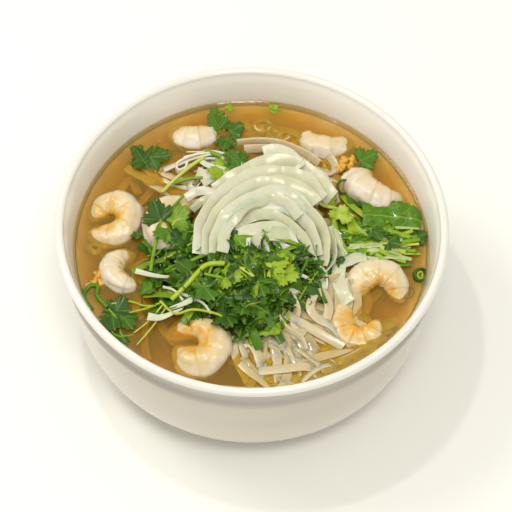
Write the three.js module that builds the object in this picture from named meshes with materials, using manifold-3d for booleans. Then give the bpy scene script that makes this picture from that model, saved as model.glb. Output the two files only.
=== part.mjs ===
// A deep porcelain bowl of clear noodle soup with flat rice noodles, nine peeled
// shrimps, a pile of raw onion slices and chopped fresh herbs.
// Millimetres, +Z up. The origin is on the table, under the middle of the bowl.
import * as THREE from 'three';
import { mergeVertices } from 'three/addons/utils/BufferGeometryUtils.js';
import Module from 'manifold-3d';

const wasm = await Module();
wasm.setup();

// Driving sizes.
const RIM_RADIUS = 105;      // widest circle, round the outside of the lip
const BOWL_HEIGHT = 93;      // table to the crest of the lip
const LIP_HALF = 2.4;        // the lip is a rounded bead of this half thickness
const FOOT_RADIUS = 62;      // middle of the foot ring
const FLOOR_HEIGHT = 8.5;    // inside floor of the bowl above the table
const SOUP_LEVEL = 71;       // surface of the broth above the table
const SOUP_RADIUS = 95.9;    // inside of the bowl at that level
const GAP = 0.3;             // clearance between pieces that touch
const CUT_GAP = 0.45;        // growth of a piece before it is cut from a neighbour
const WELD = 1e-3;           // corners this near are one corner


const CERAMIC = { color: 0xdedacd, roughness: 0.16, metalness: 0 };
const BROTH = { color: 0xb8801f, roughness: 0.05, metalness: 0 };
const RICE_NOODLE = { color: 0xd8c7a4, roughness: 0.35, metalness: 0 };
const SHRIMP_FLESH = { color: 0xebcba4, roughness: 0.38, metalness: 0 };
const HERB = { color: 0x3f8212, roughness: 0.5, metalness: 0 };
const ONION = { color: 0xdde1bd, roughness: 0.28, metalness: 0 };

const radians = THREE.MathUtils.degToRad;
const mix = THREE.MathUtils.lerp;
const smooth = THREE.MathUtils.smoothstep;

// Solids and meshes ----------------------------------------------------------

function welded(geometry) {
  const plain = geometry.clone();
  plain.deleteAttribute('normal');
  plain.deleteAttribute('uv');
  return mergeVertices(plain, WELD);
}

function solidOf(geometry) {
  const closed = welded(geometry);
  return new wasm.Manifold(new wasm.Mesh({
    numProp: 3,
    vertProperties: new Float32Array(closed.attributes.position.array),
    triVerts: new Uint32Array(closed.index.array),
  }));
}

// The same shape with its skin moved outwards, used to keep a gap round a piece.
function grown(geometry, distance) {
  const closed = welded(geometry);
  closed.computeVertexNormals();
  const place = closed.attributes.position;
  const normal = closed.attributes.normal;
  for (let i = 0; i < place.count; i += 1) {
    place.setXYZ(
      i,
      place.getX(i) + distance * normal.getX(i),
      place.getY(i) + distance * normal.getY(i),
      place.getZ(i) + distance * normal.getZ(i),
    );
  }
  return solidOf(closed);
}

// The largest body of a solid: a cut may free thin slivers, which are dropped.
function mainBody(solid) {
  const bodies = solid.decompose();
  return bodies.reduce((best, body) => (body.volume() > best.volume() ? body : best));
}

function meshOf(name, solid, finish) {
  const result = solid.getMesh();
  const geometry = new THREE.BufferGeometry();
  geometry.setAttribute('position', new THREE.BufferAttribute(result.vertProperties, 3));
  geometry.setIndex(new THREE.BufferAttribute(result.triVerts, 1));
  geometry.computeVertexNormals();
  const mesh = new THREE.Mesh(geometry, new THREE.MeshStandardMaterial(finish));
  mesh.name = name;
  return mesh;
}

const TURNED_SEGMENTS = 36;
function turned(profile) {
  const geometry = new THREE.LatheGeometry(profile, TURNED_SEGMENTS);
  geometry.rotateX(Math.PI / 2);
  return geometry;
}

function at(radius, height) {
  return new THREE.Vector2(radius, height);
}

// The bowl ---------------------------------------------------------------------

// Inside wall from the floor's middle to just under the lip.
const innerWall = new THREE.SplineCurve([
  at(30, FLOOR_HEIGHT + 0.2),
  at(56, FLOOR_HEIGHT + 1.4),
  at(74, FLOOR_HEIGHT + 5),
  at(86, FLOOR_HEIGHT + 12.5),
  at(92, FLOOR_HEIGHT + 23),
  at(94.4, FLOOR_HEIGHT + 37),
  at(SOUP_RADIUS, SOUP_LEVEL),
  at(98, BOWL_HEIGHT - 9),
  at(RIM_RADIUS - 2 * LIP_HALF, BOWL_HEIGHT - LIP_HALF),
]);

const INNER_WALL_STEPS = 9;
const innerWallPoints = innerWall.getPoints(INNER_WALL_STEPS);

// Outside wall from the foot to the lip: rounded belly, steep side, a raised
// ridge below the lip, and the lip's flare.
const outerWall = new THREE.SplineCurve([
  at(66, 3.2),
  at(79, 6),
  at(88.5, 12.2),
  at(94.4, 20),
  at(97.4, 29),
  at(99.2, 41),
  at(100.3, 56),
  at(100.8, 69.4),
]);
const OUTER_WALL_STEPS = 7;
const ridgeAndFlare = [
  at(101.6, 71.8),
  at(101.4, 73),
  at(100.6, 76),
  at(101.2, 82.4),
  at(103.2, 87.2),
];

const LIP_STEPS = 5;
function lip() {
  const points = [];
  for (let i = 0; i < LIP_STEPS; i += 1) {
    const angle = (Math.PI * i) / LIP_STEPS;
    points.push(at(
      RIM_RADIUS - LIP_HALF + LIP_HALF * Math.cos(angle),
      BOWL_HEIGHT - LIP_HALF + LIP_HALF * Math.sin(angle),
    ));
  }
  return points;
}

// The underside is hollowed inside the foot ring.
const FOOT_HOLLOW = 3.4;
const FOOT_WIDTH = 5;
function bowlProfile() {
  return [
    at(0, FOOT_HOLLOW),
    at(FOOT_RADIUS - FOOT_WIDTH, FOOT_HOLLOW),
    at(FOOT_RADIUS - FOOT_WIDTH / 2, 0),
    at(FOOT_RADIUS + FOOT_WIDTH / 2, 0),
    ...outerWall.getPoints(OUTER_WALL_STEPS),
    ...ridgeAndFlare,
    ...lip(),
    ...innerWallPoints.toReversed(),
    at(0, FLOOR_HEIGHT),
  ];
}

// Height of the inside floor and wall over the table at a given radius.
function floorHeight(radius) {
  const wallSamples = [at(0, FLOOR_HEIGHT), ...innerWallPoints];
  const next = wallSamples.findIndex((point) => point.x >= radius);
  if (next < 1) {
    return FLOOR_HEIGHT;
  }
  const low = wallSamples[next - 1];
  const high = wallSamples[next];
  return mix(low.y, high.y, (radius - low.x) / (high.x - low.x));
}

// The broth round and over the noodles. The noodles stand on the floor inside
// BROTH_CORE, so there the underside only has to lie somewhere within them.
const BROTH_CORE = 74;
const BROTH_CORE_HEIGHT = 40;
const BROTH_CORE_SLOPE = 8;
function brothProfile() {
  const wall = innerWallPoints
    .filter((point) => point.x > BROTH_CORE && point.y < SOUP_LEVEL);
  return [
    at(0, BROTH_CORE_HEIGHT),
    at(BROTH_CORE - BROTH_CORE_SLOPE, BROTH_CORE_HEIGHT),
    at(BROTH_CORE, floorHeight(BROTH_CORE) + GAP),
    ...wall.map((point) => at(point.x - GAP * 1.6, point.y + GAP)),
    at(SOUP_RADIUS - GAP * 1.8, SOUP_LEVEL),
    at(0, SOUP_LEVEL),
  ];
}

// Shrimps ----------------------------------------------------------------------

// A peeled, cooked shrimp: a body bent into a C, thick at the cut head end and
// thin at the tail, with six shallow rings. start and sweep are the angles of
// the bend in degrees, curl the bend's radius at the head and at the tail, and
// tilt leans the C about the axis that points to hinge.
const SHRIMPS = [
  { place: [-72, 13.5, 72.5], start: 206, sweep: 325, curl: [13.5, 14.5], girth: [8.2, 4.8],
    hinge: 180, tilt: -4 },
  { place: [-67, -21, 69.5], start: 195, sweep: -255, curl: [13, 11], girth: [7.2, 4.6],
    hinge: 140, tilt: 14 },
  { place: [-39.5, 3, 75], start: 60, sweep: 240, curl: [11, 11.5], girth: [8.2, 5.6],
    hinge: 90, tilt: 6 },
  { place: [-33, 65, 68], start: -15, sweep: 225, curl: [10, 10], girth: [8, 5],
    hinge: 0, tilt: 8 },
  { place: [38, 64, 69], start: 205, sweep: -240, curl: [11, 11.5], girth: [8.2, 4.6],
    hinge: 0, tilt: 6 },
  { place: [64, 33.5, 72], start: 262, sweep: -270, curl: [9.5, 15.5], girth: [8.6, 3.6],
    hinge: 45, tilt: 0 },
  { place: [68, -25, 70], start: 208, sweep: -225, curl: [12, 12.5], girth: [8, 5],
    hinge: 180, tilt: 12 },
  { place: [59, -47, 70], start: 150, sweep: 240, curl: [9.5, 10], girth: [8, 5.4],
    hinge: 0, tilt: 6 },
  { place: [-26.5, -66.5, 71], start: 156, sweep: -330, curl: [16.5, 8.5], girth: [8.4, 6.2],
    hinge: 90, tilt: 3 },
];
const SHRIMP_RINGS = 6;
const SHRIMP_FLATTENING = 0.9;   // height of its section over its width
const SHRIMP_SIDES = 8;
const SHRIMP_STEPS = 11;

function shrimp({ place, start, sweep, curl, girth, hinge, tilt }) {
  const geometry = new THREE.SphereGeometry(1, SHRIMP_SIDES, SHRIMP_STEPS);
  const point = geometry.attributes.position;
  for (let i = 0; i < point.count; i += 1) {
    const along = (1 - point.getY(i)) / 2;
    const spread = Math.hypot(point.getX(i), point.getZ(i));
    const around = spread > 0 ? Math.atan2(point.getZ(i), point.getX(i)) : 0;
    const bend = radians(start + sweep * along);
    const rings = 1 + 0.04 * Math.cos(2 * Math.PI * SHRIMP_RINGS * along);
    const half = mix(girth[0], girth[1], along) * Math.pow(spread, 0.6) * rings;
    const reach = mix(curl[0], curl[1], along) + half * Math.cos(around);
    point.setXYZ(
      i,
      reach * Math.cos(bend),
      reach * Math.sin(bend),
      half * SHRIMP_FLATTENING * Math.sin(around),
    );
  }
  const lean = new THREE.Vector3(Math.cos(radians(hinge)), Math.sin(radians(hinge)), 0);
  geometry.applyMatrix4(new THREE.Matrix4().makeRotationAxis(lean, radians(tilt)));
  geometry.translate(...place);
  return outwards(geometry);
}

// Faces are turned round where a bend runs the other way and swaps the sides.
function outwards(geometry) {
  const closed = welded(geometry);
  const corner = [new THREE.Vector3(), new THREE.Vector3(), new THREE.Vector3()];
  let volume = 0;
  for (let i = 0; i < closed.index.count; i += 3) {
    corner.forEach((v, k) => {
      v.fromBufferAttribute(closed.attributes.position, closed.index.getX(i + k));
    });
    volume += corner[0].dot(corner[1].clone().cross(corner[2]));
  }
  if (volume < 0) {
    closed.index.array.reverse();
  }
  return closed;
}

// Heaps ------------------------------------------------------------------------

// A low heap: a rounded body whose upper and lower skins follow two height
// functions of the place, out to an uneven outline given by angle.
const CROWN_BEND = 0.45;   // how round the shoulder is; nearer 0 is squarer
const BASE_BEND = 0.15;
function heap({ middle, outline, top, bottom, spokes, rings }) {
  const geometry = new THREE.SphereGeometry(1, spokes, rings);
  geometry.rotateX(Math.PI / 2);
  const point = geometry.attributes.position;
  for (let i = 0; i < point.count; i += 1) {
    const share = Math.min(Math.hypot(point.getX(i), point.getY(i)), 1);
    const angle = share > 0 ? Math.atan2(point.getY(i), point.getX(i)) : 0;
    const x = middle[0] + share * outline(angle) * Math.cos(angle);
    const y = middle[1] + share * outline(angle) * Math.sin(angle);
    const low = bottom(x, y, share);
    const high = Math.max(top(x, y, share), low + 1);
    const edge = mix(low, high, 0.4);
    const lift = Math.sqrt(1 - share * share);
    const upper = mix(edge, high, Math.pow(lift, CROWN_BEND));
    const lower = mix(edge, low, Math.pow(lift, BASE_BEND));
    point.setXYZ(i, x, y, point.getZ(i) >= 0 ? upper : lower);
  }
  return outwards(geometry);
}

// A slow wave with no straight lines in it, between -1 and 1.
function waves(x, y, length) {
  const turn = (2 * Math.PI) / length;
  return 0.5 * Math.sin(turn * (x + 0.4 * y)) + 0.5 * Math.cos(turn * (y - 0.3 * x) + 1.3);
}

// The noodles fill the bowl under the toppings. They stand above the broth in
// the middle, reach the surface towards the front right and sink elsewhere.
const NOODLE_CROWN = 76;
const NOODLE_REACH = 84;
function noodleTop(x, y) {
  const radius = Math.hypot(x, y);
  const toFrontRight = smooth(Math.cos(Math.atan2(y, x) - radians(-62)), 0.5, 1);
  const rim = mix(62, 71, toFrontRight);
  return mix(NOODLE_CROWN, rim, smooth(radius, 32, NOODLE_REACH)) + 1.3 * waves(x, y, 31);
}
function noodleBottom(x, y) {
  return floorHeight(Math.hypot(x, y) + 2 * GAP) + GAP * 1.3;
}
const noodles = heap({
  middle: [0, 0],
  outline: (angle) => NOODLE_REACH + 2.5 * Math.sin(3 * angle + 0.6) + 1.5 * Math.cos(5 * angle),
  top: noodleTop,
  bottom: noodleBottom,
  spokes: 22,
  rings: 12,
});

// The chopped herbs lie on the noodles and trail into the broth.
const HERB_CROWN = 83;
function herbTop(x, y, share) {
  return mix(HERB_CROWN, SOUP_LEVEL + 3.5, smooth(share, 0.45, 1)) + 1.1 * waves(x, y, 19);
}
const herbs = heap({
  middle: [-8, -14],
  outline: (angle) => 48 + 4 * Math.sin(2 * angle + 2) + 3.5 * Math.cos(5 * angle),
  top: herbTop,
  bottom: (x, y) => Math.max(noodleTop(x, y) - 3, SOUP_LEVEL - 1.5),
  spokes: 24,
  rings: 9,
});

// A smaller heap of herbs and spring onion against the right side, under one
// large leaf.
const sideHerbs = heap({
  middle: [70, 9],
  outline: (angle) => 18 + 4.5 * Math.cos(2 * angle) + 1.5 * Math.sin(5 * angle),
  top: (x, y, share) => mix(77, SOUP_LEVEL + 2, smooth(share, 0.4, 1)) + 0.7 * waves(x, y, 13),
  bottom: () => SOUP_LEVEL - 1.5,
  spokes: 18,
  rings: 8,
});

// The onion slices are piled on the herbs, a little behind the middle.
const ONION_CROWN = 92.4;
const onions = heap({
  middle: [7, 15],
  outline: (angle) => 37 + 2.5 * Math.cos(2 * angle - 0.8) + 1.6 * Math.sin(6 * angle),
  top: (x, y, share) => mix(ONION_CROWN, 84, smooth(share, 0.2, 1)) + 0.8 * waves(x, y, 23),
  bottom: (x, y, share) => mix(79, SOUP_LEVEL + 4, smooth(share, 0.3, 1)),
  spokes: 24,
  rings: 9,
});

// Loose coriander leaves afloat on the broth -------------------------------------

const LEAF_THICKNESS = 1.3;
const LEAF_STEPS = 24;
const LEAVES = [
  { name: 'leaf_back_left', place: [-60.5, 55.5], size: 10, turn: 20 },
  { name: 'leaf_back', place: [-15.5, 78], size: 8.5, turn: 100 },
  { name: 'leaf_back_right', place: [61.5, 59.5], size: 7.5, turn: 200 },
  { name: 'leaf_front_left', place: [-67.5, -51], size: 9.5, turn: 310 },
];

function leaf({ place, size, turn }) {
  const outline = new THREE.Shape();
  for (let i = 0; i < LEAF_STEPS; i += 1) {
    const angle = (2 * Math.PI * i) / LEAF_STEPS;
    const lobes = 0.72 + 0.28 * Math.cos(3 * angle);
    const reach = size * Math.max(lobes, 0.5);
    const x = reach * Math.cos(angle);
    const y = reach * Math.sin(angle);
    if (i === 0) {
      outline.moveTo(x, y);
    } else {
      outline.lineTo(x, y);
    }
  }
  const geometry = new THREE.ExtrudeGeometry(outline, { depth: LEAF_THICKNESS, bevelEnabled: false });
  geometry.rotateZ(radians(turn));
  geometry.translate(place[0], place[1], SOUP_LEVEL + GAP);
  return geometry;
}

// Putting the bowl together: each piece is cut round those already in place ------

const object = new THREE.Group();
const placed = [];

function add(name, geometry, finish) {
  let solid = solidOf(geometry);
  for (const tool of placed) {
    solid = solid.subtract(tool);
  }
  object.add(meshOf(name, mainBody(solid), finish));
  placed.push(grown(geometry, CUT_GAP));
}

const bowl = outwards(turned(bowlProfile()));
object.add(meshOf('bowl', solidOf(bowl), CERAMIC));

SHRIMPS.forEach((shape, i) => add(`shrimp_${i + 1}`, shrimp(shape), SHRIMP_FLESH));
add('noodles', noodles, RICE_NOODLE);
add('herbs', herbs, HERB);
add('herbs_side', sideHerbs, HERB);
add('onion_slices', onions, ONION);
LEAVES.forEach((shape) => add(shape.name, leaf(shape), HERB));
add('broth', outwards(turned(brothProfile())), BROTH);

export default object;
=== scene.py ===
"""A deep white porcelain bowl of clear noodle soup: flat rice noodles, nine peeled shrimps,
a pile of raw onion slices, chopped coriander and spring onion, in amber broth."""

import math
import random

import bmesh
import bpy
import numpy as np
from mathutils import Matrix, Vector, noise


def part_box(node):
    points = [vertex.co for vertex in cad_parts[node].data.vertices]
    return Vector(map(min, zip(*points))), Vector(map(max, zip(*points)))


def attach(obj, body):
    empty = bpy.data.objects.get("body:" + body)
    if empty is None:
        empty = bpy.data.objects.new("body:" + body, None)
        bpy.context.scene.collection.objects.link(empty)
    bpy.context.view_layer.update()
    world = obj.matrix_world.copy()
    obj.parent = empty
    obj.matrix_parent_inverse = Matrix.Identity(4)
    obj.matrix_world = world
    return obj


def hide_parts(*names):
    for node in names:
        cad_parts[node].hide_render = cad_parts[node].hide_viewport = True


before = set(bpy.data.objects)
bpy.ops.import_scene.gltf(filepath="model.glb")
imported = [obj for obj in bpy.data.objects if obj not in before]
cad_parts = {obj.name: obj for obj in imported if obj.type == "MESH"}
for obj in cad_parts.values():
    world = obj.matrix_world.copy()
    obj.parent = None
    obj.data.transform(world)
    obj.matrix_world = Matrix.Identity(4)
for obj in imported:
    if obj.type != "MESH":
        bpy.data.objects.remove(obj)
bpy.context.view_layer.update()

# ---- The eye that looks at the bowl ----------------------------------------------------------
# A long lens looks down on the bowl from the front, as a person who stands at the table does.
# Its distance is told in rim radii, and it is turned a little on its own axis.
MM = 0.001
LIP_HALF = 2.4                              # half the thickness of the bowl's lip
bowl_low, bowl_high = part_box("bowl")
rim_radius = (bowl_high[0] - bowl_low[0]) / 2
bowl_height = bowl_high[2]
rim_centre = Vector((0, 0, bowl_height - LIP_HALF * MM))

VIEW_ELEVATION = math.radians(56.2)
VIEW_ROLL = math.radians(2.0)
VIEW_DISTANCE = 10 * rim_radius
VIEW_LENS = 138.7
VIEW_SENSOR = 36
NEAREST_SEEN = 0.05
AIM_RIGHT = 0.0019                          # how far the aim passes the rim's middle,
AIM_DOWN = 0.0166                           # over the distance


def make_camera():
    back = Vector((0, -math.cos(VIEW_ELEVATION), math.sin(VIEW_ELEVATION)))
    level_right = Vector((1, 0, 0))
    level_up = back.cross(level_right)
    right = level_right * math.cos(VIEW_ROLL) + level_up * math.sin(VIEW_ROLL)
    up = level_up * math.cos(VIEW_ROLL) - level_right * math.sin(VIEW_ROLL)
    toward_eye = (back - right * AIM_RIGHT + up * AIM_DOWN).normalized()
    right = up.cross(toward_eye).normalized()
    up = toward_eye.cross(right)
    camera = bpy.data.objects.new("eye", bpy.data.cameras.new("eye"))
    camera.data.lens = VIEW_LENS
    camera.data.sensor_width = VIEW_SENSOR
    camera.data.clip_start = NEAREST_SEEN
    place = Matrix((right, up, toward_eye)).transposed().to_4x4()
    place.translation = rim_centre + back * VIEW_DISTANCE
    camera.matrix_world = place
    bpy.context.collection.objects.link(camera)
    bpy.context.scene.camera = camera


make_camera()

# ---- Porcelain bowl ---------------------------------------------------------------------------
# Slip-cast white porcelain under a clear glaze with a warm tint. A deep, steep-sided bowl on a
# foot ring, with a raised line and a groove below a flared lip that ends in a rounded bead.
FLOOR = 8.5
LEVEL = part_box("broth")[1][2] / MM          # surface of the broth over the table
SOUP_RADIUS = 95.9
RIM = rim_radius / MM
HEIGHT = bowl_height / MM
FOOT = 62.0
UNDERSIDE = 3.4                             # height of the base inside the foot ring
BOWL_SEGMENTS = 192
LIP_STEPS = 14
LIP_START = -0.25                           # the bead begins a little below its widest place

# radius and height, from the foot or the floor up to the lip
FOOT_RING = [
    (FOOT - 6, UNDERSIDE), (FOOT - 4, 3.0), (FOOT - 3, 0.5), (FOOT - 2.2, 0.0), (FOOT + 1.6, 0.0),
    (FOOT + 2.6, 0.7), (FOOT + 3.2, 2.2), (FOOT + 4, 3.2),
]
OUTER_WALL = [
    (FOOT + 4, 3.2), (79, 6), (88.5, 12.2), (94.4, 20), (97.4, 29), (99.2, 41), (100.3, 56),
    (100.7, 67), (100.8, 69.5), (101.2, 70.8), (102.1, 71.9), (101.5, 73), (100.1, 74.2),
    (99.5, 76.5), (99.5, 80), (100.5, 84), (102.6, 87), (RIM - 0.2, HEIGHT - LIP_HALF - 1.2),
]
INNER_WALL = [
    (30, FLOOR + 0.2), (56, FLOOR + 1.4), (74, FLOOR + 5), (86, FLOOR + 12.5), (92, FLOOR + 23),
    (94.4, FLOOR + 37), (SOUP_RADIUS, LEVEL), (98, HEIGHT - 9),
    (RIM - 2 * LIP_HALF, HEIGHT - LIP_HALF),
]

# colours over the height of the outside, as a share of 90 mm, all painted darker than the inside as
# painted shade: brown by the foot, grey in the groove under the lip as painted shade, white at the lip
GLAZE_OUTSIDE_PAINTED_SHADE = [
    (0.0, (0.60, 0.54, 0.45)), (0.31, (0.67, 0.61, 0.525)), (0.56, (0.57, 0.52, 0.43)),
    (0.79, (0.57, 0.51, 0.425)), (0.83, (0.49, 0.45, 0.38)), (0.93, (0.52, 0.48, 0.41)),
    (0.98, (0.78, 0.75, 0.67)),
]
# the inside is painted paler than the outside, as painted light on its steep, shaded walls
GLAZE_INSIDE_PAINTED_LIGHT = [(0.3, (0.92, 0.88, 0.785)), (0.7, (0.95, 0.92, 0.84))]
WALL_LEAN = -0.16                           # how the middle of the wall leans, and where it
WALL_MIDDLE = (0.0854, 0.0866)              # would meet the table, in metres


def smooth_line(points, steps):
    """Points along the curve that runs evenly through the given ones."""
    given = [np.array(p, float) for p in points]
    padded = [2 * given[0] - given[1], *given, 2 * given[-1] - given[-2]]
    line = []
    for a, b, c, d in zip(padded, padded[1:], padded[2:], padded[3:]):
        for k in range(steps):
            t = k / steps
            line.append(0.5 * (2 * b + (c - a) * t + (2 * a - 5 * b + 4 * c - d) * t * t
                               + (3 * b - a - 3 * c + d) * t ** 3))
    line.append(given[-1])
    return line


def lip_bead():
    for k in range(LIP_STEPS):
        angle = LIP_START + (math.pi - LIP_START) * k / LIP_STEPS
        yield RIM - LIP_HALF + LIP_HALF * math.cos(angle), HEIGHT - LIP_HALF + LIP_HALF * math.sin(angle)


def bowl_profile():
    under = [(r, UNDERSIDE) for r in range(0, int(FOOT) - 6, 8)]
    foot = smooth_line(FOOT_RING, 4)[:-1]
    outside = smooth_line(OUTER_WALL, 5)[:-1]
    inside = smooth_line(INNER_WALL, 7)[::-1]
    floor = [(r, FLOOR + 0.2 * (r / 30) ** 2) for r in range(24, -1, -6)]
    return under + foot + outside + list(lip_bead()) + inside + floor


def mesh_piece(name, points, faces, material=None):
    mesh = bpy.data.meshes.new(name)
    mesh.from_pydata([tuple(p) for p in points], [], faces)
    mesh.polygons.foreach_set("use_smooth", [True] * len(mesh.polygons))
    mesh.update()
    piece = bpy.data.objects.new(name, mesh)
    bpy.context.collection.objects.link(piece)
    if material:
        mesh.materials.append(material)
    return piece


def turned(name, profile, segments, material, lift=None):
    """A turned solid. The profile starts and ends on the axis; lift moves a point up by place."""
    points, faces, rings = [], [], []
    for radius, height in profile:
        if radius < 1e-6:
            rings.append([len(points)] * segments)
            points.append((0, 0, height * MM))
            continue
        rings.append(range(len(points), len(points) + segments))
        for k in range(segments):
            angle = 2 * math.pi * k / segments
            x, y = radius * math.cos(angle), radius * math.sin(angle)
            z = height + (lift(x, y, height) if lift else 0)
            points.append((x * MM, y * MM, z * MM))
    for low, high in zip(rings, rings[1:]):
        for k in range(segments):
            n = (k + 1) % segments
            corners = dict.fromkeys((low[k], low[n], high[n], high[k]))
            faces.append(tuple(corners))
    return mesh_piece(name, points, faces, material)


def keep(piece, slot, *nodes):
    """Fixes a piece to the one body and hides the solids that it stands for. The slot is not used."""
    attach(piece, "root")
    if nodes:
        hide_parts(*nodes)


def grain_group():
    """Soft grain over a surface: a height and a mask, both from object coordinates in metres."""
    group = bpy.data.node_groups.new("fine grain", "ShaderNodeTree")
    for name, default in (("Coarse", 60.0), ("Fine", 900.0), ("Detail", 3.0)):
        socket = group.interface.new_socket(name, in_out="INPUT", socket_type="NodeSocketFloat")
        socket.default_value = default
    for name in ("Mask", "Height"):
        group.interface.new_socket(name, in_out="OUTPUT", socket_type="NodeSocketFloat")
    nodes, links = group.nodes, group.links
    inside, outside = nodes.new("NodeGroupInput"), nodes.new("NodeGroupOutput")
    place = nodes.new("ShaderNodeTexCoord")
    coarse, fine = nodes.new("ShaderNodeTexNoise"), nodes.new("ShaderNodeTexNoise")
    for node, scale in ((coarse, "Coarse"), (fine, "Fine")):
        links.new(place.outputs["Object"], node.inputs["Vector"])
        links.new(inside.outputs[scale], node.inputs["Scale"])
        links.new(inside.outputs["Detail"], node.inputs["Detail"])
    total = nodes.new("ShaderNodeMath")
    total.operation = "MULTIPLY_ADD"
    links.new(fine.outputs["Fac"], total.inputs[0])
    total.inputs[1].default_value = 0.4
    links.new(coarse.outputs["Fac"], total.inputs[2])
    links.new(coarse.outputs["Fac"], outside.inputs["Mask"])
    links.new(total.outputs["Value"], outside.inputs["Height"])
    return group


FINE_GRAIN = grain_group()


class Finish:
    """A material in the making. Each method adds a node and gives back its output; where it
    takes a value, that is a number or another node's output."""

    def __init__(self, name):
        self.material = bpy.data.materials.new(name)
        self.material.use_nodes = True
        self.nodes, self.links = self.material.node_tree.nodes, self.material.node_tree.links
        self.shader = self.nodes["Principled BSDF"]

    def grain(self, coarse, fine, strength, distance):
        """Bumps the surface with the fine grain, and gives back its mask."""
        grain = self.nodes.new("ShaderNodeGroup")
        grain.node_tree = FINE_GRAIN
        grain.inputs["Coarse"].default_value = coarse
        grain.inputs["Fine"].default_value = fine
        bump = self.nodes.new("ShaderNodeBump")
        bump.inputs["Strength"].default_value = strength
        bump.inputs["Distance"].default_value = distance
        self.links.new(grain.outputs["Height"], bump.inputs["Height"])
        self.links.new(bump.outputs["Normal"], self.shader.inputs["Normal"])
        return grain.outputs["Mask"]

    def place(self):
        return self.nodes.new("ShaderNodeTexCoord").outputs["Object"]

    def height(self):
        node = self.nodes.new("ShaderNodeSeparateXYZ")
        self.links.new(self.place(), node.inputs["Vector"])
        return node.outputs["Z"]

    def from_axis(self):
        """How far a place is from the axis of the bowl, in metres."""
        flat = self.nodes.new("ShaderNodeVectorMath")
        flat.operation = "MULTIPLY"
        self.links.new(self.place(), flat.inputs[0])
        flat.inputs[1].default_value = (1, 1, 0)
        away = self.nodes.new("ShaderNodeVectorMath")
        away.operation = "LENGTH"
        self.links.new(flat.outputs["Vector"], away.inputs[0])
        return away.outputs["Value"]

    def clouds(self, scale, detail):
        node = self.nodes.new("ShaderNodeTexNoise")
        node.inputs["Scale"].default_value = scale
        node.inputs["Detail"].default_value = detail
        self.links.new(self.place(), node.inputs["Vector"])
        return node.outputs["Fac"]

    def stored(self, name):
        node = self.nodes.new("ShaderNodeAttribute")
        node.attribute_name = name
        return node.outputs["Fac"]

    def calc(self, operation, *values):
        node = self.nodes.new("ShaderNodeMath")
        node.operation = operation
        for socket, value in zip(node.inputs, values):
            if isinstance(value, (int, float)):
                socket.default_value = value
            else:
                self.links.new(value, socket)
        return node.outputs["Value"]

    def spread(self, source, low, high, from_low=0.0, from_high=1.0):
        node = self.nodes.new("ShaderNodeMapRange")
        self.links.new(source, node.inputs["Value"])
        node.inputs["From Min"].default_value = from_low
        node.inputs["From Max"].default_value = from_high
        node.inputs["To Min"].default_value = low
        node.inputs["To Max"].default_value = high
        return node.outputs["Result"]

    def ramp(self, source, stops):
        """A colour ramp; stops are (position, (r, g, b))."""
        node = self.nodes.new("ShaderNodeValToRGB")
        while len(node.color_ramp.elements) < len(stops):
            node.color_ramp.elements.new(1)
        for element, (position, colour) in zip(node.color_ramp.elements, stops):
            element.position = position
            element.color = (*colour, 1)
        self.links.new(source, node.inputs["Fac"])
        return node.outputs["Color"]

    def mix(self, share, first, second):
        """second is a node's output or a plain colour."""
        node = self.nodes.new("ShaderNodeMix")
        node.data_type = "RGBA"
        self.links.new(share, node.inputs["Factor"])
        self.links.new(first, node.inputs["A"])
        if isinstance(second, tuple):
            node.inputs["B"].default_value = (*second, 1)
        else:
            self.links.new(second, node.inputs["B"])
        return node.outputs["Result"]

    def done(self, colour, values):
        """Links the colour, sets the shader's own plain values and gives back the material."""
        self.links.new(colour, self.shader.inputs["Base Color"])
        for name, value in values.items():
            self.shader.inputs[name].default_value = value
        return self.material


def glaze():
    """Paler inside as painted light; outside greyer as painted shade, darkest in the groove under
    the lip, and browner towards the foot.
    """
    finish = Finish("warm white glaze")
    mask = finish.grain(28, 420, 0.12, 0.0006)
    height = finish.height()
    # painted shade: the outside darker than the inside, and darkest in the groove under the lip
    shaded_outside = finish.ramp(finish.spread(height, 0, 1, 0.0, 0.09), GLAZE_OUTSIDE_PAINTED_SHADE)
    # painted light: the inside paler than the outside
    inner = finish.ramp(mask, GLAZE_INSIDE_PAINTED_LIGHT)
    past_wall = finish.calc("MULTIPLY_ADD", height, WALL_LEAN, finish.from_axis())
    sides = finish.mix(finish.spread(past_wall, 0, 1, *WALL_MIDDLE), inner, shaded_outside)
    colour = finish.mix(finish.spread(height, 1, 0, 0.066, 0.074), sides, shaded_outside)
    finish.links.new(finish.spread(mask, 0.10, 0.22, 0.3, 0.7), finish.shader.inputs["Roughness"])
    return finish.done(colour, {"Coat Weight": 0.35, "Coat Roughness": 0.06})


keep(turned("bowl_body", bowl_profile(), BOWL_SEGMENTS, glaze()), "porcelain", "bowl")

# ---- Broth ------------------------------------------------------------------------------------
# Clear amber stock, filled to two centimetres below the lip. It climbs the glaze by a
# millimetre all round, and its surface is never quite flat.
WALL_BITE = 0.4             # how far the liquid reaches into the wall, so that no air shows
BROTH_CLEARNESS = 0.86      # the rest is haze
BROTH_DEPTH_TINT = (0.975, 0.76, 0.06, 1)
BROTH_DEPTH_DENSITY = 85
BROTH_TINTS = [
    (0.0, (0.95, 0.58, 0.05)), (0.45, (1.0, 0.645, 0.07)), (0.8, (1.0, 0.70, 0.10)),
    (1.0, (1.0, 0.82, 0.32)),
]
# the creep of the liquid up the glaze, inwards from the wall and up from the surface
CREEP = [(-0.5, 1.3), (0.1, 1.2), (0.6, 0.7), (1.5, 0.28), (3, 0.06)]


def wave(x, y, length):
    turn = 2 * math.pi / length
    return 0.5 * math.sin(turn * (x + 0.4 * y)) + 0.5 * math.cos(turn * (y - 0.3 * x) + 1.3)


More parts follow.
